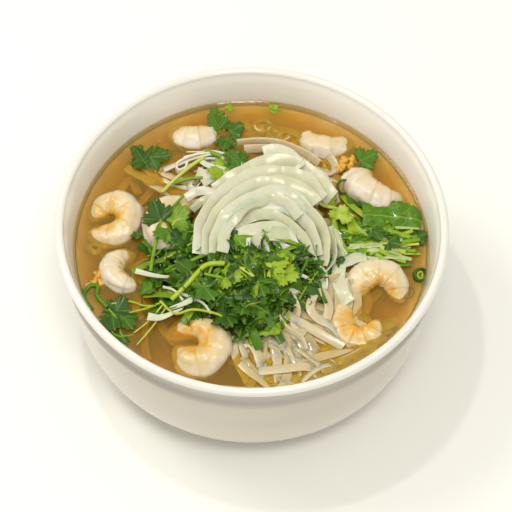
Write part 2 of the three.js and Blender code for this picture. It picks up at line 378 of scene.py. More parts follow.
def broth_profile():
    wall = [(r + WALL_BITE, z - WALL_BITE) for r, z in smooth_line(INNER_WALL[:7], 6)]
    creep = [(SOUP_RADIUS - inward, LEVEL + rise) for inward, rise in CREEP]
    surface = [(r, LEVEL) for r in np.linspace(SOUP_RADIUS - 5, 0, 60)]
    return [(0, FLOOR - WALL_BITE)] + wall[:-1] + creep + surface


def broth_lift(x, y, height):
    return 0.10 * wave(x, y, 34) + 0.05 * wave(y, x, 15) if abs(height - LEVEL) < 0.01 else 0


def clear_stock():
    """Deep gold in the middle, paler over the shallow edge, and darker the deeper one looks."""
    finish = Finish("amber stock")
    drift = finish.calc("MULTIPLY_ADD", finish.clouds(32, 3), 0.016, finish.from_axis())
    colour = finish.ramp(finish.spread(drift, 0, 1, 0.052, 0.104), BROTH_TINTS)
    depth = finish.nodes.new("ShaderNodeVolumeAbsorption")
    depth.inputs["Color"].default_value = BROTH_DEPTH_TINT
    depth.inputs["Density"].default_value = BROTH_DEPTH_DENSITY
    finish.links.new(depth.outputs["Volume"], finish.nodes["Material Output"].inputs["Volume"])
    return finish.done(colour, {"Roughness": 0.03, "IOR": 1.333, "Transmission Weight": BROTH_CLEARNESS})


keep(turned("broth_body", broth_profile(), 160, clear_stock(), broth_lift), "broth", "broth")

# ---- Rice noodles -----------------------------------------------------------------------------
# Flat rice noodles, about five millimetres wide, boiled and dropped in by the handful. The
# bundle fills the bowl; ribbons lie on it in swathes and loops, most of them under the broth.
NOODLE_WIDTH = 4.8 * MM
NOODLE_THICKNESS = 1.3 * MM
NOODLE_ROUNDING = 0.4 * MM
NOODLE_CROWN = 76
NOODLE_REACH = 84
BUNDLE_RINGS, BUNDLE_SPOKES = 52, 180
BUNDLE_SINK = 7.5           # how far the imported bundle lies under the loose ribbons
SHORE_REACH, SHORE_HEIGHT = 95.2, 67.5      # where the bundle meets the wall
# hollows in the bundle, painted dark as painted shade: middle, depth and breadth
HOLLOWS = [(-16, -84, 9, 160), (-46, 40, 7, 260), (-56, -56, 6, 220)]
NOODLE_TONES = [
    (0.2, (0.50, 0.355, 0.13)), (0.45, (0.55, 0.43, 0.21)), (0.68, (0.58, 0.485, 0.30)),
    (0.86, (0.72, 0.66, 0.54)),
]
# painted shade: brown where the tone is low, in the hollows and grooves of the bundle
BUNDLE_TONES_WITH_SHADE = [
    (0.1, (0.26, 0.13, 0.03)), (0.35, (0.42, 0.25, 0.08)), (0.8, (0.80, 0.58, 0.29)),
    (1.0, (0.92, 0.80, 0.56)),
]
WANDERING_COUNT = 36
FAN_COUNT = 21
COMBED_COUNT = 16


def between(value, low, high):
    share = min(max((value - low) / (high - low), 0), 1)
    return share * share * (3 - 2 * share)


def noodle_top(x, y):
    front_right = between(math.cos(math.atan2(y, x) - math.radians(-62)), 0.5, 1)
    edge = 62 + 9 * front_right
    rise = between(math.hypot(x, y), 32, NOODLE_REACH)
    return NOODLE_CROWN + (edge - NOODLE_CROWN) * rise + 1.3 * wave(x, y, 31)


def rice_noodle():
    """The tone stored on a ribbon makes it golden, as under the broth, or white."""
    finish = Finish("boiled rice noodle")
    mask = finish.grain(180, 1400, 0.25, 0.0004)
    shade = finish.calc("MULTIPLY_ADD", finish.stored("tone"), 0.45, finish.spread(mask, 0, 0.4))
    return finish.done(finish.ramp(shade, NOODLE_TONES), {
        "Roughness": 0.3, "Subsurface Weight": 0.65, "Subsurface Scale": 0.003,
        "Subsurface Radius": (1, 0.8, 0.5), "Coat Weight": 0.5, "Coat Roughness": 0.08})


def packed_noodle():
    """The bundle deep in the stock: painted shade makes it brown in its hollows and grooves, and it is
    paler towards the wall.
    """
    finish = Finish("packed noodles")
    mask = finish.grain(90, 900, 0.3, 0.0006)
    shade = finish.calc("MULTIPLY_ADD", mask, 0.35, finish.stored("tone"))
    return finish.done(finish.ramp(shade, BUNDLE_TONES_WITH_SHADE), {"Roughness": 0.5})


def note(piece, **values):
    """Stores values on the corners of a piece: a list with one for each, or one for all."""
    for name, value in values.items():
        data = value if isinstance(value, list) else [value] * len(piece.data.vertices)
        piece.data.attributes.new(name, "FLOAT", "POINT").data.foreach_set("value", data)


def weld(piece, distance=1e-6):
    """Merges doubled corners and turns the faces outwards."""
    work = bmesh.new()
    work.from_mesh(piece.data)
    bmesh.ops.remove_doubles(work, verts=work.verts, dist=distance)
    bmesh.ops.recalc_face_normals(work, faces=work.faces)
    work.to_mesh(piece.data)
    work.free()


def cells(rows, sides, first=0):
    """The four corners of each cell of a net that closes on itself."""
    for i in range(rows):
        for k in range(sides):
            a, b = first + i * sides + k, first + i * sides + (k + 1) % sides
            yield a, b, b + sides, a + sides


def heap_faces(rings, spokes):
    """An upper and a lower round net of rings, joined along their edges."""
    half = (rings + 1) * spokes
    faces = [(a, d, c, b) for a, b, c, d in cells(rings, spokes)]
    faces += cells(rings, spokes, half)
    edge = rings * spokes
    for k in range(spokes):
        n = (k + 1) % spokes
        faces.append((edge + k, edge + half + k, edge + half + n, edge + n))
    return faces


def noodle_core():
    """What lies under the loose ribbons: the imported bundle, with the relief of its strands. It
    spreads out below the surface until it meets the wall of the bowl."""
    points, tones = [], []
    for side in (1, -1):
        for i in range(BUNDLE_RINGS + 1):
            share = i / BUNDLE_RINGS
            reach = share * SHORE_REACH
            low = FLOOR + 1 + (SHORE_HEIGHT - FLOOR - 2) * share ** 9
            for k in range(BUNDLE_SPOKES):
                angle = 2 * math.pi * k / BUNDLE_SPOKES
                x, y = reach * math.cos(angle), reach * math.sin(angle)
                slump = between(reach, 66 + 2.5 * math.sin(3 * angle + 0.6), 86)
                shore = SHORE_HEIGHT - 11 * (1 - between(reach, 80, 96))
                hollow = 0
                for hx, hy, depth, breadth in HOLLOWS:
                    hollow += depth * math.exp(-((x - hx) ** 2 + (y - hy) ** 2) / breadth)
                top = (noodle_top(x, y) - BUNDLE_SINK) * (1 - slump) + shore * slump
                top -= hollow * (1 - between(reach, 84, 94))
                strands = math.sin(1.15 * (x * math.cos(0.02 * y) + y * math.sin(0.03 * x + 0.4)))
                relief = strands * (1 - slump)
                points.append((x * MM, y * MM, (top + 0.8 * relief if side > 0 else low) * MM))
                # painted shade: darker in the grooves between strands and in the hollows; paler towards the
                # wall
                tones.append(0.08 + 0.12 * relief + 0.62 * between(reach, 72, 95) - 0.03 * hollow)
    piece = mesh_piece("noodle_bundle", points, heap_faces(BUNDLE_RINGS, BUNDLE_SPOKES), packed_noodle())
    note(piece, tone=tones)
    weld(piece)
    return piece


def new_tree(name, *inputs):
    """An empty Geometry Nodes tree with named inputs, given as (name, kind of socket)."""
    tree = bpy.data.node_groups.new(name, "GeometryNodeTree")
    for label, kind in (("Geometry", "Geometry"), *inputs):
        tree.interface.new_socket(label, in_out="INPUT", socket_type="NodeSocket" + kind)
    tree.interface.new_socket("Geometry", in_out="OUTPUT", socket_type="NodeSocketGeometry")
    return tree, tree.nodes.new("NodeGroupInput"), tree.nodes.new("NodeGroupOutput")


def named(tree, name, kind="FLOAT"):
    node = tree.nodes.new("GeometryNodeInputNamedAttribute")
    node.data_type = kind
    node.inputs["Name"].default_value = name
    return node.outputs["Attribute"]


def end_tree(tree, inside, outside, geometry):
    """Makes the copies real and gives them their material."""
    real = tree.nodes.new("GeometryNodeRealizeInstances")
    tree.links.new(geometry, real.inputs["Geometry"])
    finish = tree.nodes.new("GeometryNodeSetMaterial")
    tree.links.new(real.outputs["Geometry"], finish.inputs["Geometry"])
    tree.links.new(inside.outputs["Material"], finish.inputs["Material"])
    tree.links.new(finish.outputs["Geometry"], outside.inputs["Geometry"])


def ribbon_tree():
    """Sweeps a rounded flat section along each line of a mesh of edges."""
    tree, inside, outside = new_tree("ribbon along a line", ("Width", "Float"), ("Thickness", "Float"),
                                     ("Rounding", "Float"), ("Material", "Material"))
    nodes, links = tree.nodes, tree.links
    line = nodes.new("GeometryNodeMeshToCurve")
    links.new(inside.outputs["Geometry"], line.inputs[0])
    level = nodes.new("GeometryNodeSetCurveNormal")
    level.mode = "Z_UP"
    links.new(line.outputs[0], level.inputs["Curve"])
    tilt = nodes.new("GeometryNodeSetCurveTilt")
    links.new(level.outputs["Curve"], tilt.inputs["Curve"])
    links.new(named(tree, "tilt"), tilt.inputs["Tilt"])

    section = nodes.new("GeometryNodeCurvePrimitiveQuadrilateral")
    links.new(inside.outputs["Width"], section.inputs["Width"])
    links.new(inside.outputs["Thickness"], section.inputs["Height"])
    rounded = nodes.new("GeometryNodeFilletCurve")
    rounded.mode = "POLY"
    rounded.inputs["Count"].default_value = 2
    links.new(inside.outputs["Rounding"], rounded.inputs["Radius"])
    links.new(section.outputs["Curve"], rounded.inputs["Curve"])
    place = nodes.new("ShaderNodeSeparateXYZ")
    links.new(nodes.new("GeometryNodeInputPosition").outputs["Position"], place.inputs["Vector"])
    share = nodes.new("ShaderNodeMath")
    share.operation = "DIVIDE"
    links.new(place.outputs["X"], share.inputs[0])
    links.new(inside.outputs["Width"], share.inputs[1])
    across = nodes.new("GeometryNodeStoreNamedAttribute")
    across.data_type, across.domain = "FLOAT", "POINT"
    across.inputs["Name"].default_value = "across"
    links.new(rounded.outputs["Curve"], across.inputs["Geometry"])
    links.new(share.outputs["Value"], across.inputs["Value"])

    sweep = nodes.new("GeometryNodeCurveToMesh")
    sweep.inputs["Fill Caps"].default_value = True
    links.new(tilt.outputs["Curve"], sweep.inputs["Curve"])
    links.new(across.outputs["Geometry"], sweep.inputs["Profile Curve"])
    links.new(named(tree, "girth"), sweep.inputs["Scale"])
    soft = nodes.new("GeometryNodeSetShadeSmooth")
    links.new(sweep.outputs["Mesh"], soft.inputs["Geometry"])
    end_tree(tree, inside, outside, soft.outputs["Geometry"])
    return tree


RIBBON = ribbon_tree()


def grown(source, tree, name, **inputs):
    """The plain mesh that a node tree makes of a source object."""
    modifier = source.modifiers.new(name, "NODES")
    modifier.node_group = tree
    for item in tree.interface.items_tree:
        if item.in_out == "INPUT" and item.name in inputs:
            modifier[item.identifier] = inputs[item.name]
    graph = bpy.context.evaluated_depsgraph_get()
    mesh = bpy.data.meshes.new_from_object(source.evaluated_get(graph))
    source.modifiers.clear()
    bpy.data.objects.remove(source)
    piece = bpy.data.objects.new(name, mesh)
    bpy.context.collection.objects.link(piece)
    return piece


def lines_mesh(lines):
    """A mesh of edges. Each line is a list of (x, y, z, tilt, girth) in millimetres, and a tone."""
    points, edges, values = [], [], {"tilt": [], "girth": [], "tone": []}
    for line, tone in lines:
        for k, (x, y, z, tilt, girth) in enumerate(line):
            if k:
                edges.append((len(points) - 1, len(points)))
            points.append((x * MM, y * MM, z * MM))
            for name, value in (("tilt", tilt), ("girth", girth), ("tone", tone)):
                values[name].append(value)
    mesh = bpy.data.meshes.new("lines")
    mesh.from_pydata(points, edges, [])
    source = bpy.data.objects.new("lines", mesh)
    note(source, **values)
    bpy.context.collection.objects.link(source)
    return source


def ribbons(name, lines, width, thickness, rounding, material):
    return grown(lines_mesh(lines), RIBBON, name, Width=width, Thickness=thickness,
                 Rounding=rounding, Material=material)


noise.seed_set(4)           # the wobble below is the same on every run


def route(points, step=2.4, tilt=(0, 0), girth=(1, 1), sway=0.0, seed=0, wobble=0.0):
    """An even line through a few places, with its tilt and girth changing from end to end."""
    rough = smooth_line(points, 12)
    gaps = [0] + [float(np.linalg.norm(b - a)) for a, b in zip(rough, rough[1:])]
    run = np.cumsum(gaps)
    count = max(int(run[-1] / step), 3)
    line = []
    for k in range(count + 1):
        share = k / count
        x, y, z = (float(np.interp(share * run[-1], run, [p[i] for p in rough])) for i in range(3))
        turn = tilt[0] + (tilt[1] - tilt[0]) * share
        if sway:
            turn += sway * noise.noise(Vector((share * 3, seed * 1.7, 0.3)))
        if wobble:
            off = noise.noise_vector(Vector((x * 0.16, y * 0.16, seed * 2.3))) * wobble
            x, y, z = x + off.x, y + off.y, z + off.z
        line.append((x, y, z, turn, girth[0] + (girth[1] - girth[0]) * share))
    return line


def over_broth(places):
    return [(x, y, LEVEL + over) for x, y, over in places]


def strand(tone, *places, **shape):
    """One ribbon with its tone, through places given as (x, y, height over the broth)."""
    return route(over_broth(places), **shape), tone


def bundle(rng, count, gap, places, wobble):
    """Several ribbons that lie side by side along one route, each a little astray."""
    points = [np.array(p, float) for p in over_broth(places)]
    ahead = points[-1] - points[0]
    side = np.array([-ahead[1], ahead[0], 0])
    side /= np.linalg.norm(side)
    made = []
    for k in range(count):
        away = (k - (count - 1) / 2) * gap
        moved = [p + side * (away + rng.uniform(-0.8, 0.8)) + (0, 0, rng.uniform(-1.3, 0.7))
                 for p in points]
        line = route(moved, sway=0.9, seed=k + len(points), wobble=wobble)
        made.append((line, rng.uniform(0.2, 1.0)))
    return made


def wandering_noodle(rng, x, y, heading, length, depth):
    """A ribbon that drifts over the bundle and dips under its neighbours."""
    step, ease, turn_back, farthest, highest = 2.6, 0.09, 70, 88, 77
    line = []
    turn = rng.uniform(-0.03, 0.03)
    tilt = rng.uniform(-0.5, 0.5)
    phase = rng.uniform(0, 6)
    for k in range(int(length / step)):
        turn += rng.uniform(-0.012, 0.012)
        turn = max(min(turn, ease), -ease)
        if math.hypot(x, y) > turn_back:
            inward = math.atan2(-y, -x)
            swing = (inward - heading + math.pi) % (2 * math.pi) - math.pi
            heading += 0.10 * math.copysign(1, swing)
        heading += turn
        x, y = x + step * math.cos(heading), y + step * math.sin(heading)
        z = noodle_top(x, y) - depth + 1.2 * math.sin(k * 0.16 + phase)
        line.append((x, y, min(z, highest), tilt + 0.45 * math.sin(k * 0.11 + phase), 1))
    return [p for p in line if math.hypot(p[0], p[1]) < farthest]


def loose_noodles():
    rng = random.Random(41)
    lines = []
    for k in range(WANDERING_COUNT):
        angle = rng.uniform(0, 2 * math.pi)
        radius = 72 * math.sqrt(rng.uniform(0.12, 1))
        x, y = radius * math.cos(angle), radius * math.sin(angle)
        heading = angle + math.pi / 2 + rng.uniform(-1.2, 1.2)
        line = wandering_noodle(rng, x, y, heading, rng.uniform(60, 125), rng.uniform(1, 5))
        if len(line) > 8:
            lines.append((line, rng.uniform(0.1, 0.8)))
    return lines


def curls():
    """Ends of ribbons that have rolled up and sunk."""
    for x, y, size, over in ((3.5, 79.5, 4.6, -2.6), (10.5, 76, 4.2, -2.9), (17, 73, 3.4, -2.7),
                             (-84, -5.5, 3.4, -3.2)):
        ring = [(x + size * math.cos(a), y + size * math.sin(a), LEVEL + over + 0.3 * a)
                for a in np.linspace(0, 1.9 * math.pi, 14)]
        yield route(ring, step=1.0, tilt=(0.3, 0.9), girth=(0.6, 0.7), wobble=1.6, seed=int(x)), 0.8


def fan(rng):
    """The front swathe, that spreads from under the herbs and dives below the surface."""
    for k in range(FAN_COUNT):
        turn = math.radians(-93 + 76 * (k + rng.uniform(-0.4, 0.4)) / (FAN_COUNT - 1))
        x = 10 + 16 * math.cos(turn) + rng.uniform(-5, 5)
        y = -32 + 14 * math.sin(turn) + rng.uniform(-5, 5)
        reach, bend = rng.uniform(44, 66), rng.uniform(-0.9, 0.9)
        spots = []
        for share in (0, 0.33, 0.66, 1):
            way = turn + bend * (share - 0.3)
            px, py = x + reach * share * math.cos(way), y + reach * share * math.sin(way)
            shrink = min(1, 90 / math.hypot(px, py))
            over = LEVEL + 2.4 - 4.6 * share ** 0.8 + rng.uniform(-0.9, 0.4)
            spots.append((px * shrink, py * shrink, over))
        girth = (rng.uniform(0.8, 1.1), rng.uniform(0.9, 1.2))
        yield route(spots, sway=0.5, seed=k, wobble=0.6, girth=girth), rng.uniform(0, 0.8)


def combed(rng):
    """Thin strands on edge, combed out from the crest towards the back left."""
    for k in range(COMBED_COUNT):
        x, y = -12 + rng.uniform(-3, 5), 50 + rng.uniform(-6, 6)
        start = (x, y, LEVEL + 3 + rng.uniform(-1, 1))
        turn = math.radians(150 + 75 * k / (COMBED_COUNT - 1))
        reach = rng.uniform(16, 30)
        early = turn - 0.25
        mid = (x + 0.5 * reach * math.cos(early), y + 0.5 * reach * math.sin(early), LEVEL + 2.2)
        end = (x + reach * math.cos(turn), y + reach * math.sin(turn), LEVEL + rng.uniform(-1, 0.6))
        yield route([start, mid, end], step=1.8, tilt=(1.1, 1.3), girth=(0.62, 0.48), sway=0.5,
                    seed=k + 50), 1.4


def shown_noodles():
    """The ribbons that lie in sight: the white swathe at the front right, the strands and loops
    behind the onion, and the sunken swathe at the back left."""
    rng = random.Random(7)
    lines = [
        strand(1.0, (6, -36, 5), (20, -47, 4.5), (36, -56, 2.6), (50, -63, 0.4), tilt=(0.2, 0.5)),
        strand(0.9, (6, -79.5, -0.2), (18, -78, 0.9), (30, -76, 0.7), (37, -77, -2), (42, -80, -4)),
        strand(0.5, (29, -71, -1), (40, -65, -1), (54, -62, -1.4), (66, -64, -2.6), (74, -58, -5)),
        strand(0.7, (38, -82, -3), (43, -74, -2), (48, -67, -1.7), (52, -71, -2.4), (55, -75, -5),
               girth=(1.3, 1)),
        strand(0.9, (-4, -66, -1), (0, -63.5, 1.8), (4, -67, 1.2), (8, -77, -0.4), (14, -86, -2)),
        strand(0.7, (4, -60, 1.4), (9, -69, -0.2), (17, -74, -1.4), (28, -72, -0.8), (33, -77, -2)),
        strand(0.8, (9, -58, 1.8), (22, -66, -0.2), (31, -70, -1), (41, -77, -2.6), girth=(1.2, 1.2)),
        strand(1.0, (14, -46, 4), (19, -54, 2.6), (27, -59, 1.4), (30, -66, 0.4), tilt=(1.1, 0.9)),
        strand(1.0, (22, -36, 5), (25, -44, 4.6), (24, -52, 3.2), (30, -57, 2), tilt=(0.4, 0)),
        strand(1.0, (34, -34, 4.5), (32, -42, 4), (36, -48, 3.2), (44, -52, 2.4), (49, -57, 0.5)),
        strand(0.9, (38, -30, 4.5), (42, -40, 3.6), (41, -50, 2.4), (46, -56, 1), tilt=(-0.3, 0.3)),
        strand(0.7, (-70, 47, -2), (-58, 40, -1.4), (-46, 34, -1), (-34, 31, -0.6)),
        # the curl of one ribbon's end, and the strands that fan out of it
        strand(1.4, (-20, 57, 2.6), (-30, 56, 2.4), (-38, 53, 2), (-43, 49, 1.4), (-42, 45, 1),
               (-38, 46, 1.2), (-37, 50, 1.8), tilt=(1.2, 1.5), step=1.4),
        strand(1.4, (-6, 57, 3.4), (-20, 57, 2.8), (-34, 54, 1.6), (-50, 46, 0.6), tilt=(1.1, 0.5)),
        strand(1.3, (-12, 50, 3), (-22, 49, 2.4), (-31, 42, 1.4), (-36, 36, 0.6), (-33, 33, 0.4),
               tilt=(1.2, 0.6)),
        strand(1.3, (-14, 46, 3), (-22, 42, 2.2), (-27, 35, 1.4), tilt=(1.0, 0.6)),
        strand(1.0, (-10, 66, 0.8), (2, 67, 1.8), (14, 66, 1.8), (28, 60, 1.2), (36, 54, 0.6),
               tilt=(1.2, 0.8)),
        strand(0.9, (-6, 62, 1), (8, 62, 2), (20, 58, 1.8), (30, 52, 1.4), tilt=(0.7, 1.1)),
        strand(0.9, (30, 60, 1), (36, 63, 1.4), (42, 58, 1.4), (45, 51, 1), (41, 47, 0.8),
               (35, 50, 0.8), tilt=(0.9, 0.5)),
    ]
    lines += curls()
    lines += fan(rng)
    lines += combed(rng)
    # swathes: how many ribbons, the gap between them, their route and their wobble
    for swathe in (
        (4, 5.4, [(-66, 56, -2.6), (-57, 48, -1.4), (-46, 40, -0.7), (-30, 34, 0)], 1.2),
        (5, 4.8, [(0, -40, 3), (20, -58, 0.5), (44, -74, -4), (52, -80, -7)], 0.0),
        (3, 5, [(-2, -70, 0.4), (8, -80, -0.5), (20, -86, -1), (32, -84, -1.4)], 0.0),
        (3, 5, [(28, -84, -1.4), (38, -75, -0.5), (52, -70, -0.4), (66, -60, -1.2)], 0.0),
        (3, 5.4, [(20, -60, 0.6), (34, -71, -0.3), (43, -79, -1.2)], 0.0),
        (4, 4.6, [(48, -22, 3), (50, -36, 1), (46, -52, -1.5), (42, -66, -4)], 0.0),
        (3, 4.6, [(-4, -58, 1), (-1, -70, -0.6), (6, -84, -2)], 0.0),
        (4, 4.2, [(-10, 74, -4), (10, 72, -3), (28, 66, -2.5), (44, 50, -1)], 0.0),
        (4, 4.2, [(30, 46, 1), (44, 40, 0), (56, 22, -1.5), (60, 4, -2)], 0.0),
    ):
        lines += bundle(rng, *swathe)
    return lines


keep(noodle_core(), "rice_noodle", "noodles")
RICE_NOODLE = rice_noodle()
for name, lines in (("noodles_loose", loose_noodles()), ("noodles_on_top", shown_noodles())):
    piece = ribbons(name, lines, NOODLE_WIDTH, NOODLE_THICKNESS, NOODLE_ROUNDING, RICE_NOODLE)
    keep(piece, "rice_noodle", "noodles")

# ---- Shrimps ----------------------------------------------------------------------------------
# Cooked and peeled, bent into a C by the heat: pale firm flesh in six rings that lap over each
# other, whiter on the back, with orange along the belly and in the creases. They float or lean
# on the noodles.

# middle; start and sweep of the bend; radius of the bend and half the thickness of the body, at
# the head and at the tail; the way of the hinge it leans over, and the lean; warmth of colour
SHRIMPS = [
    ((-77, 14.5, 68), (214, 345), (12.6, 6.4), (9.2, 8), (110, -12), 1.1),
    ((-64.5, -21, 68), (78, 215), (11.5, 8.4), (7.8, 6), (140, 22), 0.15),
    ((-39.5, 6, 74), (60, 240), (12.5, 11), (9.6, 7), (90, 8), 0.75),
    ((-33, 76, 62.5), (165, 235), (7.8, 7), (10.4, 7.6), (8, -38), 0.7),
    ((40, 74, 63), (160, 235), (10.5, 8.6), (9.6, 6.8), (-8, -34), 0.75),
    ((66, 44, 64), (170, 178), (9, 18), (13, 5), (-30, -44), 0.6),
    ((68, -27, 68), (205, -235), (10.4, 10.4), (9.2, 7.2), (180, -20), 0.8),
    ((58, -47, 66), (112, 270), (9, 8), (10.2, 8.4), (0, 10), 2.0),
    ((-27, -66, 67), (160, -358), (14.2, 5.4), (9.9, 9.4), (70, -14), 1.3),
]
SHRIMP_RINGS = 6
SHRIMP_STEPS, SHRIMP_SIDES = 176, 40
FLESH_TONES = [
    (0.0, (0.75, 0.70, 0.59)), (0.15, (0.69, 0.60, 0.42)), (0.5, (0.66, 0.52, 0.25)),
    (1.0, (0.62, 0.42, 0.12)),
]
FLESH_SPECKLE = (0.74, 0.56, 0.36)
FLESH_ORANGE = (0.68, 0.36, 0.03)
# scraps of legs and roe that have come off: (x, y, height over the broth)
SCRAPS_LEFT = [
    (-78, -21, -0.6), (-81, -24, -1), (-76, -25, -0.4), (-79, -28, -1.4), (-83, -28, -1.6),
    (-74, -22, 0), (-86, -31, -1.6),
]
SCRAPS_BACK = [(50, 56, 0.2), (53, 53, 0), (49, 52, 0.6), (55, 50, -0.4), (54, 57, 0.3), (47, 50, 1)]


def shrimp_flesh():
    """Cream on the back, warmer towards the belly, with patchy orange there and in the creases."""
    finish = Finish("cooked shrimp flesh")
    calc = finish.calc
    mask = finish.grain(130, 1100, 0.3, 0.0005)
    belly, crease, tone = (finish.stored(name) for name in ("belly", "crease", "tone"))
    patchy = finish.spread(finish.clouds(190, 4), 0, 1, 0.38, 0.62)
    inner = finish.spread(belly, 0, 1, 0.25, 0.95)
    streaky = calc("ADD", calc("MULTIPLY", patchy, 0.8), 0.25)
    creased = calc("MULTIPLY", crease, calc("ADD", calc("MULTIPLY", inner, 1.5), 0.10))
    marks = calc("ADD", calc("MULTIPLY", calc("MULTIPLY", inner, 1.1), patchy),
                 calc("MULTIPLY", creased, streaky))
    orange = calc("MULTIPLY", marks, calc("ADD", tone, 0.25))
    warmth = calc("MULTIPLY", belly, calc("ADD", calc("MULTIPLY", tone, 0.5), 0.5))
    warmth = calc("ADD", warmth, calc("MULTIPLY", calc("MULTIPLY", patchy, tone), 0.22))
    flesh = finish.ramp(warmth, FLESH_TONES)
    speckled = finish.mix(finish.spread(mask, 0.0, 0.6, 0.42, 0.68), flesh, FLESH_SPECKLE)
    colour = finish.mix(finish.spread(orange, 0, 1, 0.18, 0.95), speckled, FLESH_ORANGE)
    return finish.done(colour, {
        "Roughness": 0.4, "Subsurface Weight": 0.3, "Subsurface Scale": 0.003,
        "Subsurface Radius": (1, 0.75, 0.45), "Coat Weight": 0.35, "Coat Roughness": 0.14})


SHRIMP_FLESH = shrimp_flesh()


def shrimp(number, place, bend, curl, girth, lean, tone):
    """A bent body with round ends. Its section swells over each ring and steps back at the next."""
    seed = number * 3.7
    hinge, tip = math.radians(lean[0]), math.radians(lean[1])
    leaning = Matrix.Rotation(tip, 3, Vector((math.cos(hinge), math.sin(hinge), 0)))
    points, belly, crease = [], [], []
    for i in range(SHRIMP_STEPS + 1):
        turn = math.pi * i / SHRIMP_STEPS
        along = (1 - math.cos(turn)) / 2
        cap = max(math.sin(turn), 0) ** 0.52
        ring = (along * SHRIMP_RINGS) % 1
        lap = 0.085 * ring * (1 - between(ring, 0.9, 1)) - 0.035
        swing = math.radians(bend[0] + bend[1] * along)
        half = (girth[0] + (girth[1] - girth[0]) * along) * cap
        mid = curl[0] + (curl[1] - curl[0]) * along
        fold = math.exp(-(min(ring, 1 - ring) / 0.07) ** 2) if 0.08 < along < 0.95 else 0
        for k in range(SHRIMP_SIDES):
            around = 2 * math.pi * k / SHRIMP_SIDES
            c, s = math.cos(around), math.sin(around)
            inner = (1 - c) / 2                         # 0 on the back, 1 on the belly
            lumps = 0.17 * noise.noise(Vector((along * 5 + seed, 1.6 * c, 1.6 * s)))
            lumps += 0.055 * noise.noise(Vector((along * 19 + seed, 4 * c, 4 * s)))
            groove = 0.16 * math.exp(-((around - math.pi) / 0.42) ** 2)
            reach = half * (1 + lap * (1 - 0.6 * inner) * (cap > 0.5) + lumps - groove)
            out = mid + reach * c
            spot = Vector((out * math.cos(swing), out * math.sin(swing), 0.92 * reach * s))
            points.append((leaning @ spot + Vector(place)) * MM)
            belly.append(inner)
            crease.append(fold)
    faces = list(cells(SHRIMP_STEPS, SHRIMP_SIDES))
    piece = mesh_piece(f"shrimp_body_{number}", points, faces, SHRIMP_FLESH)
    note(piece, belly=belly, crease=crease, tone=tone)
    weld(piece, 1e-7)
    keep(piece, "shrimp", f"shrimp_{number}")


def ball(rows, sides):
    """Points all over a ball of radius 1, row by row from the top."""
    for i in range(rows + 1):
        down = math.pi * i / rows
        for k in range(sides):
            around = 2 * math.pi * k / sides
            yield Vector((math.sin(down) * math.cos(around), math.sin(down) * math.sin(around),
                          math.cos(down)))


def scraps(name, places, size, node):
    rows, sides = 8, 12
    points, faces = [], []
    for n, (x, y, over) in enumerate(places):
        faces += [(a, d, c, b) for a, b, c, d in cells(rows, sides, len(points))]
        for way in ball(rows, sides):
            reach = size * (0.8 + 0.7 * noise.noise(way * 1.6 + Vector((n * 3.1, 0, 0))))
            points.append((Vector((x, y, LEVEL + over)) + way * reach) * MM)
    piece = mesh_piece(name, points, faces, SHRIMP_FLESH)
    note(piece, belly=0.9, crease=0.8, tone=1.0)
    weld(piece, 1e-7)
    keep(piece, "shrimp", node)


for number, shape in enumerate(SHRIMPS, 1):
    shrimp(number, *shape)
scraps("shrimp_scraps_left", SCRAPS_LEFT, 3.6, "shrimp_2")
scraps("shrimp_scraps_back", SCRAPS_BACK, 3.4, "shrimp_5")

# ---- Onion slices -----------------------------------------------------------------------------
# Half rings of raw onion cut thin across the bulb, nested as they came off the knife: crisp,
# glassy and pale green, with square cut ends and a painted highlight along their edges.
ONION_WIDTH = 9 * MM
ONION_THICKNESS = 1.1 * MM
ONION_ROUNDING = 0.3 * MM
ONION_VEINS = 38            # veins across a slice, in radians from edge to edge
ONION_TONES = [
    (0.35, (0.57, 0.575, 0.31)), (0.65, (0.74, 0.725, 0.46)), (0.95, (0.84, 0.81, 0.61)),
]
# painted highlight along both edges of each slice
ONION_EDGE_HIGHLIGHT = (0.78, 0.77, 0.62)
CROSSED_COUNT = 16
ROOF_LEAN = 0.42            # each slice leans on the next one, like a roof tile
